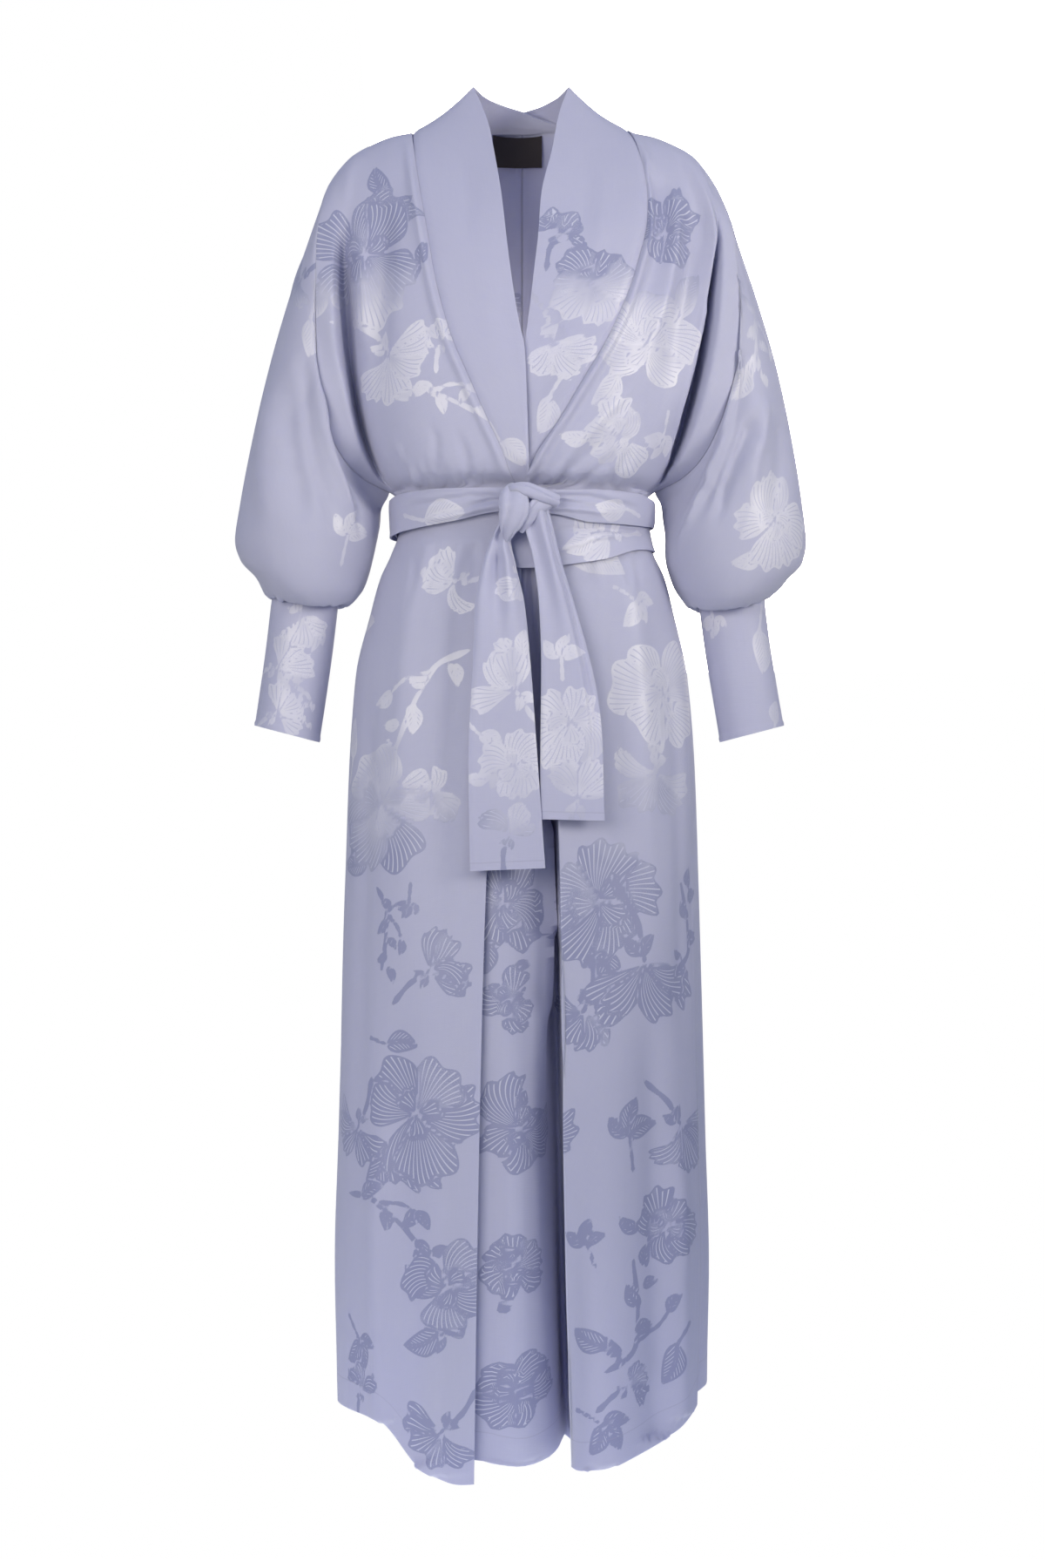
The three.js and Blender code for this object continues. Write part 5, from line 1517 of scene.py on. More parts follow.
@dataclass
class Body:
    """The two fronts and the two backs."""

    maker: Maker
    roll: float = 3.2
    back_depth: float = 1.35
    seam_dip: float = 0.3
    flat_seam: float = 2.5
    cuts: dict[str, Cut] = field(default_factory=lambda: {
        "front_right": Cut(0.34, 1.52, "hung", 0.33),
        "front_left": Cut(0.52, 1.52, "hung", 0.52),
        "back_right": Cut(0.36, 1.5, "hung", 0.4),
        "back_left": Cut(0.38, 1.5, "hung", 0.42),
    })
    grids: dict[str, Array] = field(default_factory=dict)

    FRONT_CREASES = {
        Side.RIGHT: (
            Crease(((-141, -317), (-129, -338), (-118, -358), (-112, -372)), 4, 3.4, fade=(0.4, 0.05)),
            Crease(((-128, -330), (-122, -350), (-121, -371)), 4, -2.6, fade=(0.4, 0.05)),
            Crease(((-150, -50), (-146, -130), (-152, -215), (-150, -290)), 13, -6.0),
            Crease(((-172, -80), (-170, -160), (-168, -240)), 10, 4.0),
            Crease(((-118, -30), (-112, -90), (-104, -150)), 9, 2.0),
            Crease(((-92, -372), (-90, -335), (-98, -300)), 5, -2.6, fade=(0.05, 0.6)),
            Crease(((-52, -373), (-60, -340), (-75, -305)), 6, -2.6, fade=(0.05, 0.6)),
            Crease(((-100, -425), (-118, -500), (-128, -640), (-134, -800)), 16, 3.4, fade=(0.05, 0.5)),
            Crease(((-52, -430), (-66, -520), (-84, -700), (-96, -900)), 18, -3.6, fade=(0.05, 0.5)),
            Crease(((-20, -470), (-44, -600), (-62, -760), (-74, -950)), 14, 3.0),
            Crease(((-160, -560), (-166, -700), (-172, -900), (-176, -1150)), 13, -3.2),
            Crease(((-120, -820), (-126, -1000), (-124, -1200), (-118, -1400)), 24, -5.0, fade=(0.4, 0.0)),
            Crease(((-78, -1000), (-84, -1180), (-86, -1405)), 20, 4.0, fade=(0.5, 0.0)),
            Crease(((-150, -1000), (-154, -1180), (-150, -1360)), 15, 5.0, fade=(0.4, 0.0)),
        ),
        Side.LEFT: (
            Crease(((132, -30), (142, -60), (143, -125)), 6, -5.0, fade=(0.1, 0.5)),
            Crease(((150, -34), (150, -95), (134, -163), (116, -225)), 10, -5.5, fade=(0.1, 0.4)),
            Crease(((164, -40), (163, -110), (150, -175), (130, -245)), 8, 6.0),
            Crease(((182, -56), (180, -120), (168, -190), (150, -255)), 12, -5.5),
            Crease(((128, -60), (124, -110), (114, -160)), 6, 2.0),
            Crease(((197, -170), (176, -269), (153, -368)), 4, 2.4, fade=(0.1, 0.1)),
            Crease(((12, -375), (36, -330), (75, -275), (104, -232)), 6, -3.2, fade=(0.05, 0.6)),
            Crease(((22, -376), (54, -338), (95, -292), (128, -262)), 6, 3.0, fade=(0.05, 0.6)),
            Crease(((34, -376), (66, -346), (104, -312)), 6, -3.2, fade=(0.05, 0.6)),
            Crease(((58, -376), (84, -354), (112, -335)), 5, -2.4, fade=(0.05, 0.6)),
            Crease(((92, -376), (108, -350), (122, -318)), 6, -2.6, fade=(0.05, 0.6)),
            Crease(((70, -450), (88, -520), (100, -640), (106, -760), (108, -900)), 17, -6.0,
                   fade=(0.1, 0.5)),
            Crease(((108, -450), (124, -540), (134, -700), (138, -900)), 16, 3.6, fade=(0.1, 0.5)),
            Crease(((150, -520), (164, -640), (168, -820), (170, -1000)), 12, -3.0),
            Crease(((92, -900), (98, -1100), (96, -1395)), 24, 4.0, fade=(0.4, 0.0)),
            Crease(((132, -860), (140, -1080), (142, -1370)), 18, -6.0, fade=(0.4, 0.0)),
            Crease(((160, -1000), (170, -1180), (170, -1350)), 14, 5.0, fade=(0.4, 0.0)),
            Crease(((66, -1100), (68, -1250), (70, -1396)), 12, -3.0, fade=(0.5, 0.0)),
            Crease(((-8, -900), (-4, -1100), (4, -1300), (8, -1390)), 14, 4.0, fade=(0.4, 0.0)),
            Crease(((19, -690), (21, -800), (23, -920), (24, -1060)), 14, 19.0, fade=(0.15, 0.6)),
            Crease(((-30, -800), (-32, -1100), (-34, -1390)), 12, -3.0, fade=(0.4, 0.0)),
        ),
    }
    BACK_CREASES = (
        Crease(((26, -376), (40, -320), (62, -250), (90, -170)), 14, -4.0, fade=(0.05, 0.6)),
        Crease(((60, -376), (80, -320), (112, -260)), 11, 3.4, fade=(0.05, 0.6)),
        Crease(((96, -376), (112, -330), (140, -280)), 9, -3.6, fade=(0.05, 0.6)),
        Crease(((148, -70), (142, -150), (146, -240)), 13, -3.4),
        Crease(((60, -10), (56, -90), (48, -180)), 16, 2.2),
        Crease(((22, -430), (34, -560), (44, -760), (52, -1000)), 20, -5.0, fade=(0.05, 0.4)),
        Crease(((60, -430), (78, -560), (90, -760), (98, -1050)), 19, 4.4, fade=(0.05, 0.4)),
        Crease(((96, -430), (120, -560), (134, -780), (142, -1050)), 17, -4.6, fade=(0.05, 0.4)),
        Crease(((40, -900), (44, -1100), (46, -1385)), 26, 5.0, fade=(0.5, 0.0)),
        Crease(((84, -900), (92, -1100), (94, -1375)), 22, -7.0, fade=(0.5, 0.0)),
        Crease(((130, -900), (140, -1100), (142, -1360)), 20, 6.0, fade=(0.5, 0.0)),
        Crease(((172, -800), (180, -1000), (182, -1300)), 15, -4.0, fade=(0.4, 0.0)),
    )
    FRONT_FLOWERS = {
        Side.RIGHT: (
            Motif(L, -150, -46, -20, 34), Motif(B, -168, -124, 60, 74), Motif(L, -104, -128, 20, 24),
            Motif(F, -142, -232, 150, 56), Motif(T, -84, -292, 122, 56), Motif(F, -84, -224, 40, 26),
            Motif(F, -70, -474, 262, 38), Motif(T, -96, -596, 215, 66), Motif(S, -176, -520, 10, 34),
            Motif(B, -150, -706, 20, 76), Motif(L, -182, -640, 0, 40), Motif(F, -96, -700, 100, 34),
            Motif(T, -150, -838, 170, 44), Motif(F, -96, -880, 60, 44), Motif(S, -118, -812, 200, 22),
            Motif(B, -112, -1030, 40, 74), Motif(F, -174, -1046, 210, 44), Motif(T, -142, -1144, 120, 62),
            Motif(B, -76, -1206, 10, 58), Motif(L, -104, -1262, 250, 40), Motif(S, -172, -1270, 160, 32),
            Motif(F, -170, -1322, 20, 30), Motif(F, -82, -1356, 230, 46), Motif(L, -128, -960, 90, 34),
        ),
        Side.LEFT: (
            Motif(B, 150, -104, 200, 46), Motif(L, 176, -172, 10, 44), Motif(B, 132, -226, 20, 66),
            Motif(B, 100, -322, 60, 46), Motif(S, 150, -318, 190, 28), Motif(L, 72, -452, 120, 62),
            Motif(S, 122, -492, 150, 30), Motif(B, 150, -590, 30, 62), Motif(F, 142, -672, 200, 54),
            Motif(B, 82, -808, 0, 70), Motif(F, 66, -920, 200, 46), Motif(F, 130, -872, 170, 74),
            Motif(T, 168, -840, 10, 48), Motif(S, 112, -1052, 10, 38), Motif(F, 168, -1046, 150, 52),
            Motif(L, 134, -1150, 180, 34), Motif(B, 152, -1150, 90, 46), Motif(T, 104, -1240, 20, 60),
            Motif(S, 70, -1164, 0, 26), Motif(L, 74, -1262, 300, 36), Motif(F, 112, -1310, 60, 34),
            Motif(S, 84, -1350, 140, 32), Motif(L, 156, -1290, 200, 40), Motif(B, -20, -812, 30, 60),
            Motif(B, -10, -912, 190, 38), Motif(B, 0, -1044, 70, 56), Motif(B, -6, -1186, 10, 40),
            Motif(B, -4, -1316, 90, 50),
        ),
    }
    BACK_FLOWERS = (
        Motif(B, 96, -96, 30, 74), Motif(T, 52, -196, 200, 56), Motif(F, 150, -190, 160, 52),
        Motif(B, 74, -306, 10, 60), Motif(L, 128, -330, 60, 38), Motif(F, 60, -500, 210, 52),
        Motif(T, 120, -560, 170, 62), Motif(B, 80, -690, 40, 76), Motif(S, 150, -760, 20, 34),
        Motif(T, 52, -840, 190, 60), Motif(F, 132, -900, 200, 62), Motif(B, 66, -1020, 0, 72),
        Motif(L, 150, -1040, 30, 44), Motif(T, 124, -1160, 160, 62), Motif(B, 60, -1250, 70, 62),
        Motif(F, 150, -1290, 190, 44), Motif(S, 96, -1350, 10, 34), Motif(T, 184, -640, 175, 48),
        Motif(B, 188, -960, 20, 46), Motif(F, 190, -1200, 160, 44),
    )

    def back_motif(self, side: Side, motif: Motif) -> Motif:
        """One figure of a back; those of the right back stand otherwise than the left one's."""
        if side is Side.LEFT:
            return replace(motif, behind=True)
        return Motif(motif.kind, motif.x - 190, motif.z + 38, -motif.heading, motif.size * 0.92, True)

    def front(self, side: Side) -> bpy.types.Object:
        """One front, from the shoulder to the hem."""
        name = f"front_{side.word}"
        sheet = Sheet(front_grid(side), -side.value)
        sheet.soften(4)
        self.grids[name] = sheet.grid.copy()
        first, top = sheet.across(), sheet.down()
        last, hem = first[-1:] - first, top[:, -1:] - top
        z = sheet.grid[..., 2]
        sewn = z > UNDERARM
        hold = ease(last / 8) * ease(top / 8) * np.where(sewn, ease(first / 8), 1)
        seam = np.minimum(np.minimum(self.flat_seam * last + 0.4, top), np.where(sewn, first, FAR))
        folds = self.FRONT_CREASES[side]
        span = (-118, -20) if side is Side.RIGHT else (40, 124)
        folds += gathers(11 + side.value, 7, span, -374, (18, 44), 2.2)
        folds += gathers(21 + side.value, 9, span, -432, (-30, -90), 2.0)
        push = (sheet.crease_depth(folds) + sheet.ripple(31 + side.value, 70, 0.8)) * hold
        # The front rolls softly over the seam of the neck band.
        rolled = self.roll * (np.exp(-(((first - 7) / 5) ** 2)) - 1.1 * np.exp(-((first / 2.5) ** 2)))
        push += rolled * ease((z - UNDERARM) / 30) * ease((20 - z) / 60)
        push -= np.exp(-((top / 2.2) ** 2)) + self.seam_dip * np.exp(-((last / 2.2) ** 2))
        sheet.push(push)
        motifs = self.FRONT_FLOWERS[side]
        return self.maker.piece(name, sheet, CLOTH, self.cuts[name], motifs, 51 + side.value,
                                hem, seam, (f"back_{side.word}",))

    def back(self, side: Side) -> bpy.types.Object:
        """One back, from the neckline to the hem."""
        name = f"back_{side.word}"
        sheet = Sheet(back_grid(side), side.value)
        sheet.soften(4)
        self.grids[name] = sheet.grid.copy()
        first, top = sheet.across(), sheet.down()
        last, hem = first[-1:] - first, top[:, -1:] - top
        hold = ease(last / 8) * ease(top / 8) * ease(first / 8)
        dipped = np.minimum(top, first)
        seam = np.minimum(self.flat_seam * last + 0.4, dipped)
        uneven = 1.0 if side is Side.RIGHT else 0.9
        folds = tuple(
            Crease(tuple((side.value * x * uneven, z) for x, z in fold.route), fold.width,
                   fold.depth * uneven * self.back_depth, True, fade=fold.fade)
            for fold in self.BACK_CREASES
        )
        span = tuple(sorted((side.value * 14, side.value * 122)))
        folds += gathers(41 + side.value, 8, span, -374, (20, 50), 2.4, True)
        folds += gathers(61 + side.value, 10, span, -432, (-30, -100), 2.2, True)
        push = (sheet.crease_depth(folds) + sheet.ripple(71 + side.value, 75, 0.9)) * hold
        push -= np.exp(-((dipped / 2.2) ** 2)) + self.seam_dip * np.exp(-((last / 2.2) ** 2))
        sheet.push(push)
        motifs = tuple(self.back_motif(side, motif) for motif in self.BACK_FLOWERS)
        tucks = (Tuck(0, False), Tuck(1, True), Tuck(0, True, 1.2, 0.6))
        return self.maker.piece(name, sheet, CLOTH, self.cuts[name], motifs, 81 + side.value,
                                hem, seam, ("wearer",), tucks)

    def build(self) -> None:
        """Makes all four panels."""
        for side in Side:
            self.front(side)
            self.back(side)


@dataclass
class Neck:
    """The double neck band, in two halves, and the label inside the back."""

    maker: Maker
    label_finish: LabelWeave
    cuts: dict[str, Cut] = field(default_factory=lambda: {
        "neck_band_right": Cut(0.11, 0.66, "folded", 0.045),
        "neck_band_left": Cut(0.13, 0.66, "folded", 0.052),
        "neck_label": Cut(0.054, 0.035, "hung"),
    })

    CREASES = {
        Side.RIGHT: (
            Crease(((-62, -10), (-58, -70), (-52, -130)), 9, -1.6),
            Crease(((-40, -120), (-34, -200), (-20, -290)), 10, 1.4),
        ),
        Side.LEFT: (
            Crease(((70, 6), (66, -60), (60, -130)), 9, -2.0),
            Crease(((92, -20), (86, -90), (78, -150)), 8, 1.6),
            Crease(((34, -130), (32, -210), (24, -290)), 9, -1.2),
        ),
    }
    FLOWERS = {
        Side.RIGHT: (Motif(L, -12, -340, 150, 34),),
        Side.LEFT: (
            Motif(F, 40, -106, 20, 34), Motif(B, 70, -164, 80, 46), Motif(F, 32, -226, 150, 46),
            Motif(L, 22, -300, 170, 36),
        ),
    }

    def band(self, side: Side, front: Array) -> bpy.types.Object:
        """One half of the neck band."""
        name = f"neck_band_{side.word}"
        sheet = Sheet(band_grid(side, front), side.value)
        sheet.soften(2)
        sewn = sheet.across()
        width = sewn[-1:]
        push = sheet.crease_depth(self.CREASES[side]) * ease(sewn / 8) * ease((width - sewn) / 10)
        z = sheet.grid[..., 2]
        push -= 2.4 * np.exp(-((sewn / 4) ** 2)) * ease((z - UNDERARM) / 30)
        push += 0.7 * np.exp(-(((width - sewn - 2.5) / 2) ** 2))
        sheet.push(push)
        return self.maker.piece(name, sheet, DOUBLE_CLOTH, self.cuts[name], self.FLOWERS[side],
                                91 + side.value, None, sewn + 0.4, (f"front_{side.word}",),
                                (Tuck(0, True, 4, 1.5),))

    def label(self) -> bpy.types.Object:
        """The bare woven label, held by its upper corners, its top edge sagging between them."""
        place = LABEL_PLACE
        x = np.linspace(place["low"], place["high"], 60)[:, None]
        drop = np.linspace(0, 1, 36)[None, :]
        share = (x - place["low"]) / (place["high"] - place["low"])
        sag = 2.2 * np.sin(math.pi * share) ** 0.6
        z = mix(place["top"] - sag, place["bottom"] + 0 * sag, drop)
        line = neckline(Side.RIGHT, x * 90 / 150)
        fall = (line[..., 2] - z) / (line[..., 2] - YOKE)
        puff = 1.6 * np.sin(math.pi * drop) * np.sin(math.pi * share) + 0.5 * np.sin(share * 9) * drop
        depth = -line[..., 1] + 6 * fall - CLOTH - place["off"] - puff
        grid = np.stack([x + 0 * z, depth, z], -1)
        sheet = Sheet(grid, 1)
        cloth = np.stack([sheet.across(), sheet.down(), 0 * z], -1)
        made = Shell("neck_label_cloth", sheet, LABEL_CLOTH).make({"cloth": cloth})
        dress(made, "neck_label", self.label_finish.make())
        return made

    def build(self, body: Body) -> None:
        """Makes both halves of the band and the label."""
        for side in Side:
            self.band(side, body.grids[f"front_{side.word}"])
        self.label()


@dataclass
class Arms:
    """The bishop sleeves and their deep cuffs."""

    maker: Maker
    cuts: dict[str, Cut] = field(default_factory=lambda: {
        "sleeve": Cut(0.52, 0.42, "gathered", 0.15),
        "cuff": Cut(0.22, 0.146, "folded"),
    })

    fold_depth: float = 1.7
    seam_dip: float = 0.3
    flat_seam: float = 2.5

    CREASES = {
        Side.RIGHT: (
            Crease(((-216, -225), (-205, -317), (-187, -370), (-169, -420)), 5, 3.6),
            Crease(((-232, -215), (-226, -300), (-208, -372), (-190, -430)), 10, -4.0),
            Crease(((-249, -240), (-246, -317), (-236, -370), (-228, -425)), 15, -4.6),
            Crease(((-272, -250), (-276, -340), (-268, -420)), 16, 2.6),
            Crease(((-190, -345), (-176, -385), (-166, -430)), 5, -3.0),
            Crease(((-216, -225), (-226, -320), (-240, -420)), 14, 4.0, True),
            Crease(((-240, -215), (-256, -320), (-268, -410)), 12, -4.0, True),
            Crease(((-196, -300), (-196, -370), (-190, -430)), 9, -4.0, True),
        ),
        Side.LEFT: (
            Crease(((226, -289), (203, -341), (178, -397), (163, -446)), 6, 3.8),
            Crease(((240, -215), (226, -290), (200, -360), (180, -420)), 11, -5.0),
            Crease(((250, -290), (236, -322), (216, -366), (199, -425)), 8, -5.2),
            Crease(((262, -270), (250, -330), (232, -400)), 9, 3.2),
            Crease(((282, -280), (276, -350), (262, -420)), 14, -2.6),
            Crease(((196, -352), (180, -386), (166, -426)), 5, -3.0),
            Crease(((222, -225), (232, -320), (246, -420)), 14, 4.0, True),
            Crease(((246, -215), (262, -320), (272, -410)), 12, -4.0, True),
            Crease(((198, -300), (200, -370), (194, -430)), 9, -4.0, True),
        ),
    }
    FLOWERS = {
        Side.RIGHT: (
            Motif(F, -238, -150, 220, 34), Motif(L, -226, -214, 170, 36), Motif(S, -184, -424, 20, 32),
            Motif(B, -236, -180, 30, 60, True), Motif(T, -250, -330, 160, 56, True),
        ),
        Side.LEFT: (
            Motif(T, 240, -206, 178, 46), Motif(L, 230, -262, 200, 34), Motif(B, 268, -408, 30, 52),
            Motif(B, 240, -190, 10, 60, True), Motif(F, 256, -360, 200, 50, True),
        ),
    }
    CUFF_FLOWERS = {
        Side.RIGHT: (
            Motif(F, -236, -506, 150, 40), Motif(F, -262, -560, 80, 38), Motif(T, -244, -594, 150, 30),
            Motif(F, -262, -612, 60, 34), Motif(B, -240, -560, 30, 40, True),
        ),
        Side.LEFT: (
            Motif(S, 204, -506, 190, 24), Motif(L, 256, -540, 185, 42), Motif(L, 274, -610, 20, 24),
            Motif(F, 236, -580, 200, 34, True),
        ),
    }

    def sleeve(self, side: Side, points: Array, angles: Array) -> bpy.types.Object:
        """One sleeve, drawn in at the cuff."""
        name = f"sleeve_{side.word}"
        sheet = Sheet(sleeve_grid(side, points, angles), side.value, True)
        top = sheet.down()
        low = top[:, -1:] - top
        hold = ease(top / 10) * ease(low / 6)
        turn = angles[:, None]
        dice = np.random.default_rng(101 + side.value)
        puckers = sum(
            dice.uniform(0.3, 1) * np.cos(count * turn + dice.uniform(0, 6))
            for count in (9, 13, 17, 22, 27)
        )
        folds = self.fold_depth * sheet.crease_depth(self.CREASES[side])
        push = (folds + sheet.ripple(111 + side.value, 80, 0.9)) * hold
        push += 1.1 * puckers * np.exp(-((low / 16) ** 2)) * ease(low / 4)
        push -= self.seam_dip * np.exp(-((top / 2.4) ** 2))
        sheet.push(push)
        seam = np.minimum(self.flat_seam * top + 0.4, low)
        return self.maker.piece(name, sheet, CLOTH, self.cuts["sleeve"], self.FLOWERS[side],
                                121 + side.value, None, seam, (f"front_{side.word}",),
                                (Tuck(1, True),))

    def cuff(self, side: Side, angles: Array) -> bpy.types.Object:
        """One deep cuff."""
        name = f"cuff_{side.word}"
        sheet = Sheet(cuff_grid(side, angles), side.value, True)
        top = sheet.down()
        low = top[:, -1:] - top
        rolled = 0.9 * np.exp(-(((low - 2.5) / 2.2) ** 2))
        sheet.push(rolled + sheet.ripple(131 + side.value, 45, 0.5) * ease(top / 9))
        return self.maker.piece(name, sheet, DOUBLE_CLOTH, self.cuts["cuff"], self.CUFF_FLOWERS[side],
                                141 + side.value, None, top, (f"sleeve_{side.word}",),
                                (Tuck(1, True, 5, 0.6),))

    def build(self, body: Body) -> None:
        """Makes both sleeves and both cuffs."""
        for side in Side:
            front, back = (body.grids[f"{part}_{side.word}"] for part in ("front", "back"))
            points, angles = armhole(front, back)
            self.sleeve(side, points, angles)
            self.cuff(side, angles)


@dataclass(frozen=True)
class Wrap:
    """One pass of cloth in the knot, as a flattened tube along a route of (x, fore, z)."""

    route: tuple[Point, ...]
    halves: tuple[float, ...]
    thick: float
    ridges: int

    def tube(self, number: int) -> tuple[Array, Array]:
        """Its rings of points, and the cloth coordinates of each.

        Args:
            number: Its place in the knot, which turns its ridges.

        Returns:
            Points and cloth coordinates, both (rings, columns, 3).
        """
        knots = np.linspace(0, 1, len(self.route))
        at = np.linspace(0, 1, 60)
        x, fore, z = (curve(knots, np.array([p[k] for p in self.route], float), at) for k in range(3))
        line = np.stack([x, -fore, z], -1)
        run = unit(np.gradient(line, axis=0))
        out = unit(line - np.array(KNOT_MIDDLE))
        out = unit(out - run * (out * run).sum(-1, keepdims=True))
        wide = np.cross(run, out)
        half = curve(knots, np.array(self.halves, float), at)[:, None]
        angle = np.linspace(0, 2 * math.pi, 49)[:-1][None, :]
        groove = np.abs(np.cos(angle * self.ridges + number + 1.4 * at[:, None])) ** 0.6
        crest = 1 + 0.5 * (groove - 0.75) * np.clip(np.sin(angle), 0, 1)
        a = half * np.sign(np.cos(angle)) * np.abs(np.cos(angle)) ** 0.8
        b = self.thick * np.sin(angle) * crest
        grid = line[:, None] + wide[:, None] * a[..., None] + out[:, None] * b[..., None]
        # The third number holds the knot at a fixed level of painted sheen.
        flat = np.stack([(at * 60)[:, None] + 0 * angle, angle * 12 + 0 * at[:, None], 0 * a + 0.8], -1)
        return grid, flat


@dataclass
class Belt:
    """The sash: two turns round the waist, the knot and its hanging ends."""

    maker: Maker
    cuts: dict[str, Cut] = field(default_factory=lambda: {
        "belt_lower_turn": Cut(0.05, 0.74, "folded"),
        "belt_upper_turn": Cut(0.045, 0.76, "folded"),
        "belt_tail_right": Cut(0.08, 0.35, "hung"),
        "belt_tail_left": Cut(0.06, 0.32, "hung"),
        "belt_knot": Cut(0.042, 0.115, "folded"),
    })

    tail_bow: float = 11.0
    tail_hollow: float = 11.0
    hem_shift: float = 22.0

    WRAPS = (
        Wrap(((2, 104, -381), (-5, 114, -380), (-9, 122, -388), (-8, 126, -400), (-11, 124, -412),
              (-14, 119, -422), (-15, 112, -430)), (8, 12, 15, 16, 13.5, 9, 4), 6.5, 3),
        Wrap(((36, 108, -391), (28, 114, -388), (16, 119, -384), (4, 121, -380), (-6, 118, -379),
              (-14, 108, -384)), (7, 8, 9, 9.5, 8.5, 6), 6, 2),
        Wrap(((30, 107, -392), (22, 114, -394), (13, 118, -400), (6, 118, -411), (-2, 112, -421)),
             (6, 9, 10, 8, 5), 5, 2),
    )
    # Each end's own start, out of sight inside the knot: z, low, high, fore and bow.
    TAIL_TOP = {Side.RIGHT: (-414, -24, -8, 108, 3), Side.LEFT: (-390, 3, 25, 112, 4)}
    TURN_CREASES = {
        "belt_lower_turn": (
            Crease(((14, -392), (50, -396), (100, -404), (138, -408)), 3.5, -3.6),
            Crease(((24, -420), (70, -416), (120, -418), (140, -416)), 3, -3.3),
            Crease(((10, -440), (50, -436), (90, -424), (130, -424)), 3, 2.7),
        ),
        "belt_upper_turn": (
            Crease(((-12, -386), (-50, -384), (-100, -390), (-134, -392)), 3, -2.4),
            Crease(((-14, -394), (-44, -398), (-80, -406), (-110, -408)), 3.5, 2.7),
            Crease(((-16, -388), (-36, -390), (-64, -398)), 2.4, -3.0, fade=(0.05, 0.5)),
            Crease(((22, -384), (60, -384), (100, -390), (132, -396)), 3, -3.0),
            Crease(((20, -396), (56, -398), (96, -402)), 2.6, 2.7),
            Crease(((24, -388), (46, -390), (74, -392)), 2.2, -2.7, fade=(0.05, 0.5)),
            Crease(((-90, -392), (0, -394), (90, -396)), 3, -2.4, True),
            Crease(((-60, -408), (20, -406), (100, -404)), 3, 2.4, True),
        ),
    }
    FLOWERS = {
        "belt_lower_turn": (Motif(F, 92, -422, 270, 40), Motif(L, 60, -430, 250, 34)),
        "belt_upper_turn": (
            Motif(L, -86, -408, 82, 44), Motif(L, 96, -394, 268, 34),
            Motif(F, -40, -398, 90, 34, True), Motif(L, 60, -400, 80, 36, True),
        ),
        "belt_tail_right": (
            Motif(F, -2, -470, 185, 30), Motif(F, -6, -590, 330, 52), Motif(L, 4, -540, 10, 26),
            Motif(L, -34, -640, 120, 26), Motif(B, -8, -668, 70, 40), Motif(F, -14, -738, 20, 34),
        ),
        "belt_tail_left": (
            Motif(B, 50, -622, 20, 50), Motif(S, 40, -556, 20, 24), Motif(F, 58, -700, 20, 46),
        ),
    }

    def turn(self, name: str, table: Table, off: float, bulge: float) -> bpy.types.Object:
        """One turn of the sash round the waist."""
        sheet = Sheet(belt_grid(table, off, bulge, 24), -1, True)
        share = np.linspace(0, 1, 24)[None, :]
        push = sheet.crease_depth(self.TURN_CREASES[name]) * ease(share * 6) * ease((1 - share) * 6)
        sheet.push(push + sheet.ripple(151 + len(name), 40, 0.35))
        return self.maker.piece(name, sheet, DOUBLE_CLOTH, self.cuts[name], self.FLOWERS[name],
                                161 + len(name), rests_on=("front_right", "front_left"))

    def tail(self, side: Side) -> bpy.types.Object:
        """One hanging end, folded where it leaves the knot and spreading out below."""
        name = f"belt_tail_{side.word}"
        table = TAIL[side.value]
        z0, z1 = self.TAIL_TOP[side][0], table.rows[-1][0]
        z = np.linspace(z0, z1, 120)[None, :]
        share = np.linspace(0, 1, 40)[:, None]
        low, high, fore, bow = (
            curve(np.append(self.TAIL_TOP[side][0], table.column("z")),
                  np.append(self.TAIL_TOP[side][place], table.column(key)), z)
            for place, key in enumerate(table.columns.split()) if place
        )
        near = ease((z + 640) / 190)
        if side is Side.LEFT:
            high = high + self.tail_bow * np.exp(-(((z + 596) / 95) ** 2))
            low = low - 0.5 * self.tail_bow * np.exp(-(((z + 700) / 130) ** 2)) * ease((-470 - z) / 60)
        x = mix(low, high, share)
        if side is Side.RIGHT:
            hollow = -self.tail_hollow * np.exp(-(((share - 0.5) / 0.2) ** 2))
            hollow = hollow * ease((-436 - z) / 20) * ease((z + 560) / 90)
            folds = 3.0 * near * np.sin(share * 10 + 0.8) + hollow
            lower = z + 3 * share * ease((z0 - z) / 300)
        else:
            dent = 3.4 * np.exp(-(((share - 0.86) / 0.05) ** 2)) * ease((z + 720) / 120)
            folds = 3.4 * near * np.sin(share * 8.4 + 2.2) - dent
            lower = z + 1.5 * (1 - share) * ease((z0 - z) / 300)
        depth = fore + bow * np.sin(math.pi * share) + folds - 1.6 * np.abs(2 * share - 1) ** 10
        sheet = Sheet(np.stack([x, -depth, lower + 0 * x], -1), -1)
        down = sheet.down()
        sheet.push(sheet.ripple(171 + side.value, 60, 0.6) * ease(down / 30))
        hem = down[:, -1:] - down + self.hem_shift
        return self.maker.piece(name, sheet, DOUBLE_CLOTH, self.cuts[name], self.FLOWERS[name],
                                181 + side.value, hem, None, ("belt_knot",))

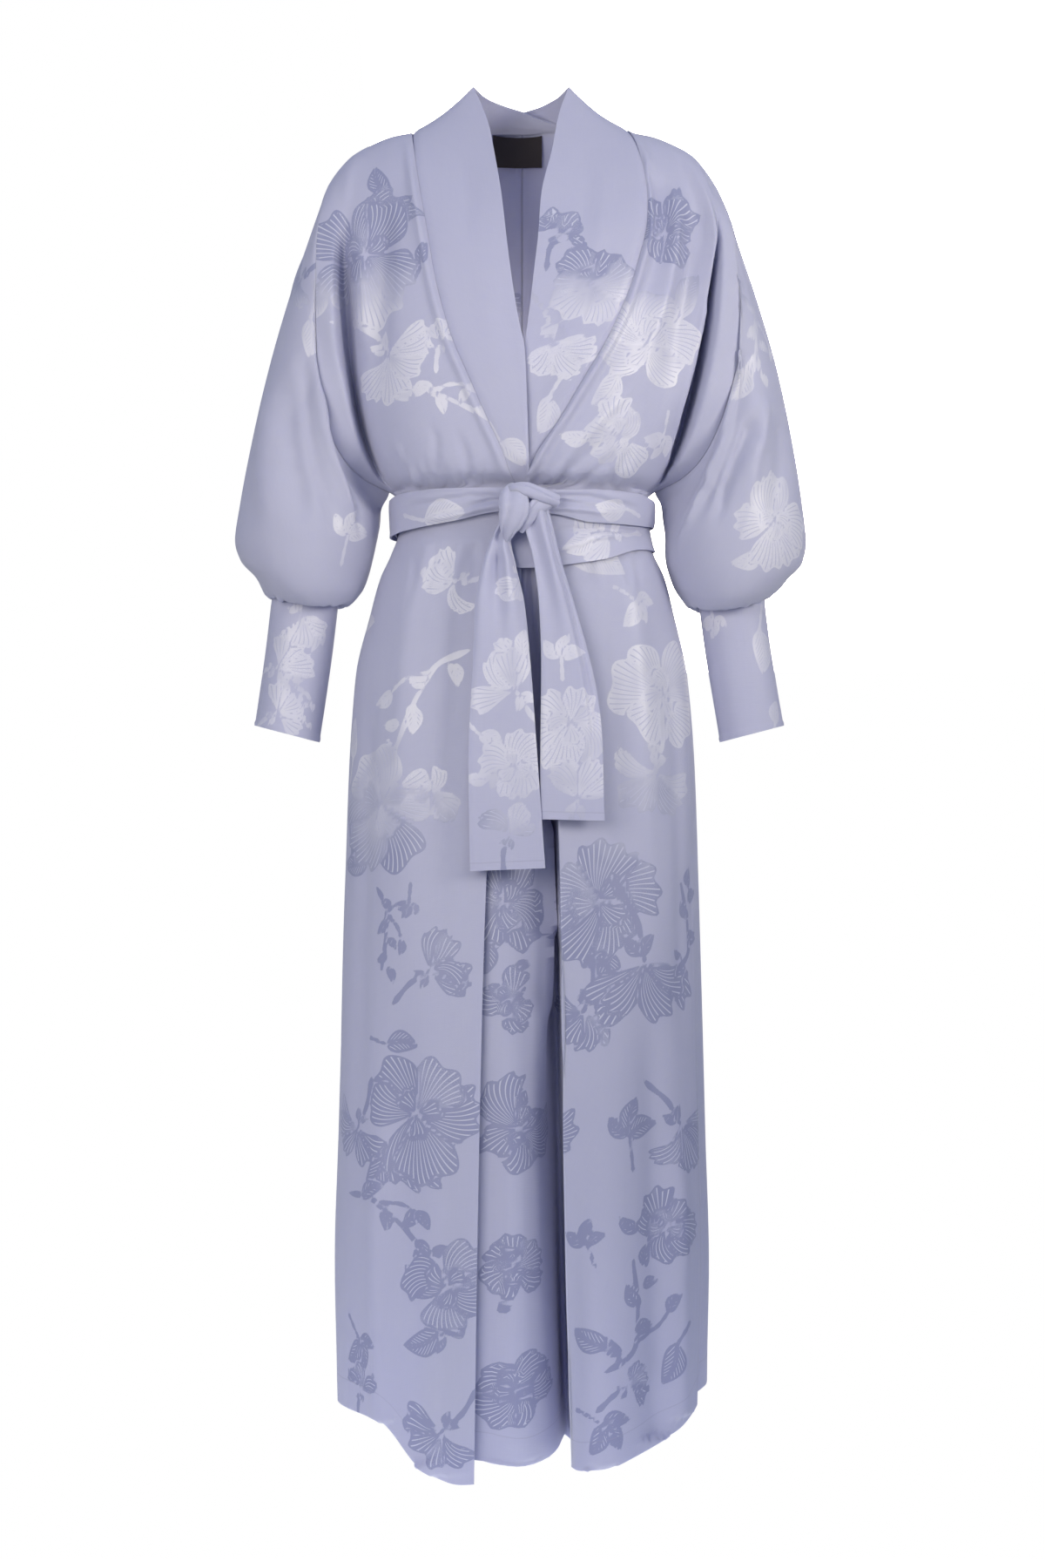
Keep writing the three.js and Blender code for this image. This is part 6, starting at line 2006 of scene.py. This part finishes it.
    def knot(self) -> bpy.types.Object:
        """The knot: an upright wrap with folded cloth inside, and a lying wrap at its top."""
        points, quads, traits = [], [], []
        for number, wrap in enumerate(self.WRAPS):
            grid, flat = wrap.tube(number)
            rings, columns = grid.shape[:2]
            place = np.arange(rings * columns).reshape(rings, columns) + sum(len(p) for p in points)
            after = np.roll(place, -1, 1)
            points.append(grid.reshape(-1, 3))
            traits.append(flat.reshape(-1, 3))
            quads.append(np.stack([place[:-1], place[1:], after[1:], after[:-1]], -1).reshape(-1, 4))
            for ring, flip in ((place[0], False), (place[-1], True)):
                cap = [(ring[k], ring[k + 1], ring[-k - 2], ring[-k - 1]) for k in range(columns // 2 - 1)]
                quads.append(np.array(cap)[:, ::-1] if flip else np.array(cap))
        made = mesh_object("belt_knot_cloth", np.concatenate(points) * MM, np.concatenate(quads))
        cloth = np.concatenate(traits).astype(np.float32)
        plain = np.tile(np.array([NO_FIGURE, 0, 0], np.float32), (len(cloth), 1))
        unsewn = np.tile(np.array([FAR, FAR, 0], np.float32), (len(cloth), 1))
        for key, values in (("cloth", cloth), ("motif", plain), ("making", unsewn)):
            trait = made.data.attributes.new(key, "FLOAT_VECTOR", "POINT")
            trait.data.foreach_set("vector", values.ravel())
        dress(made, "belt_knot", self.maker.cloth)
        return made

    def build(self) -> None:
        """Makes the whole sash."""
        lower = LAYER_GAP + DOUBLE_CLOTH
        self.turn("belt_lower_turn", LOWER_TURN, lower, 0.6)
        self.turn("belt_upper_turn", UPPER_TURN, 2 * lower + 0.4, 1.6)
        self.knot()
        for side in Side:
            self.tail(side)


# ------------------------------------ studio ------------------------------------------


@dataclass(frozen=True)
class Light:
    """A soft square light: where it stands and aims, in metres, its side and its watts."""

    name: str
    place: Point
    aim: Point
    size: float
    power: float
    spread: float = 180
    shown: bool = True


@dataclass
class Studio:
    """Pale floor, soft light and the camera."""

    eye: Point = (0.0005, -3.2, -0.686)
    lens: float = 68.08
    sensor: float = 36
    floor_level: float = -1.72
    floor_size: float = 0.75
    floor_colour: Colour = (0.95, 0.95, 0.95, 1)
    white: Colour = (1, 1, 1, 1)
    sky_colour: Colour = (0.66, 0.74, 1, 1)
    sky_rise: tuple[float, float] = (-0.7, 0.5)
    sky_light: tuple[float, float] = (0.08, 0.49)
    lamp_colour: Point = (1, 0.93, 0.81)
    # The last light stands for what shines through the cloth into the neck.
    lights: tuple[Light, ...] = (
        Light("key", (-0.95, -1.75, -0.2), (-0.05, 0, -0.55), 1.15, 23.0),
        Light("fill", (1.7, -1.4, 0.1), (0.22, 0, -0.22), 0.8, 3.4, spread=55),
        Light("back", (0.5, 2.6, 0.3), (0, 0, -0.6), 1.6, 30.0),
        Light("inside", (0.03, -0.035, -0.3), (0.0, 0.09, -0.1), 0.07, 0.22, shown=False),
    )

    def camera(self) -> None:
        """Level camera in front of the robe."""
        data = bpy.data.cameras.new("camera")
        data.lens, data.sensor_width = self.lens, self.sensor
        made = bpy.data.objects.new("camera", data)
        made.location = self.eye
        made.rotation_euler = (math.pi / 2, 0, 0)
        bpy.context.scene.collection.objects.link(made)
        bpy.context.scene.camera = made

    def area(self, light: Light) -> None:
        """Hangs one light."""
        data = bpy.data.lights.new(light.name, "AREA")
        data.shape, data.size, data.energy = "SQUARE", light.size, light.power
        data.spread = math.radians(light.spread)
        data.color = self.lamp_colour
        made = bpy.data.objects.new(light.name, data)
        made.location = light.place
        made.visible_camera = light.shown
        way = Vector(light.aim) - Vector(light.place)
        made.rotation_euler = way.to_track_quat("-Z", "Y").to_euler()
        bpy.context.scene.collection.objects.link(made)

    def floor(self) -> None:
        """Plain white floor."""
        corner = ((-1, -1), (1, -1), (1, 1), (-1, 1))
        points = np.array([(x * self.floor_size, y * self.floor_size, self.floor_level) for x, y in corner])
        made = mesh_object("floor", points, np.array([[0, 1, 2, 3]]))
        made.data.materials.append(Paint("white_floor").finish({
            "Base Color": self.floor_colour, "Roughness": 0.9, "Emission Color": self.white,
            "Emission Strength": 1.0,
        }))

    def sky(self) -> None:
        """White surroundings, which light the robe less than they show."""
        scene = bpy.context.scene
        scene.world = bpy.data.worlds.new("studio")
        scene.world.use_nodes = True
        nodes = Nodes(scene.world.node_tree)
        around = nodes.node("ShaderNodeTexCoord").outputs["Generated"]
        height = nodes.node("ShaderNodeSeparateXYZ", values={"Vector": around}).outputs["Z"]
        grade = nodes.node("ShaderNodeMapRange", values={
            "Value": height, "From Min": self.sky_rise[0], "From Max": self.sky_rise[1],
            "To Min": self.sky_light[0], "To Max": self.sky_light[1],
        }).outputs[0]
        lit = nodes.node("ShaderNodeBackground", values={"Color": self.sky_colour, "Strength": grade})
        shown = nodes.node("ShaderNodeBackground", values={"Color": self.white, "Strength": 1.0})
        seen = nodes.node("ShaderNodeLightPath").outputs["Is Camera Ray"]
        values = {"Fac": seen, "Shader": lit.outputs[0], "Shader_001": shown.outputs[0]}
        both = nodes.node("ShaderNodeMixShader", values=values).outputs[0]
        nodes.node("ShaderNodeOutputWorld", values={"Surface": both})
        scene.view_settings.view_transform = "Standard"

    def build(self) -> None:
        """Sets up the whole studio."""
        self.camera()
        self.floor()
        self.sky()
        for light in self.lights:
            self.area(light)
        LOG.info("studio ready")


# ------------------------------------- main -------------------------------------------


def main() -> None:
    """Builds the robe round its frame."""
    logging.basicConfig(level=logging.INFO, format="%(name)s %(message)s", stream=sys.stdout)
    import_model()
    maker = Maker(Jacquard().make())
    body = Body(maker)
    body.build()
    Neck(maker, LabelWeave()).build(body)
    Arms(maker).build(body)
    Belt(maker).build()
    Studio().build()


if __name__ == "__main__":
    main()
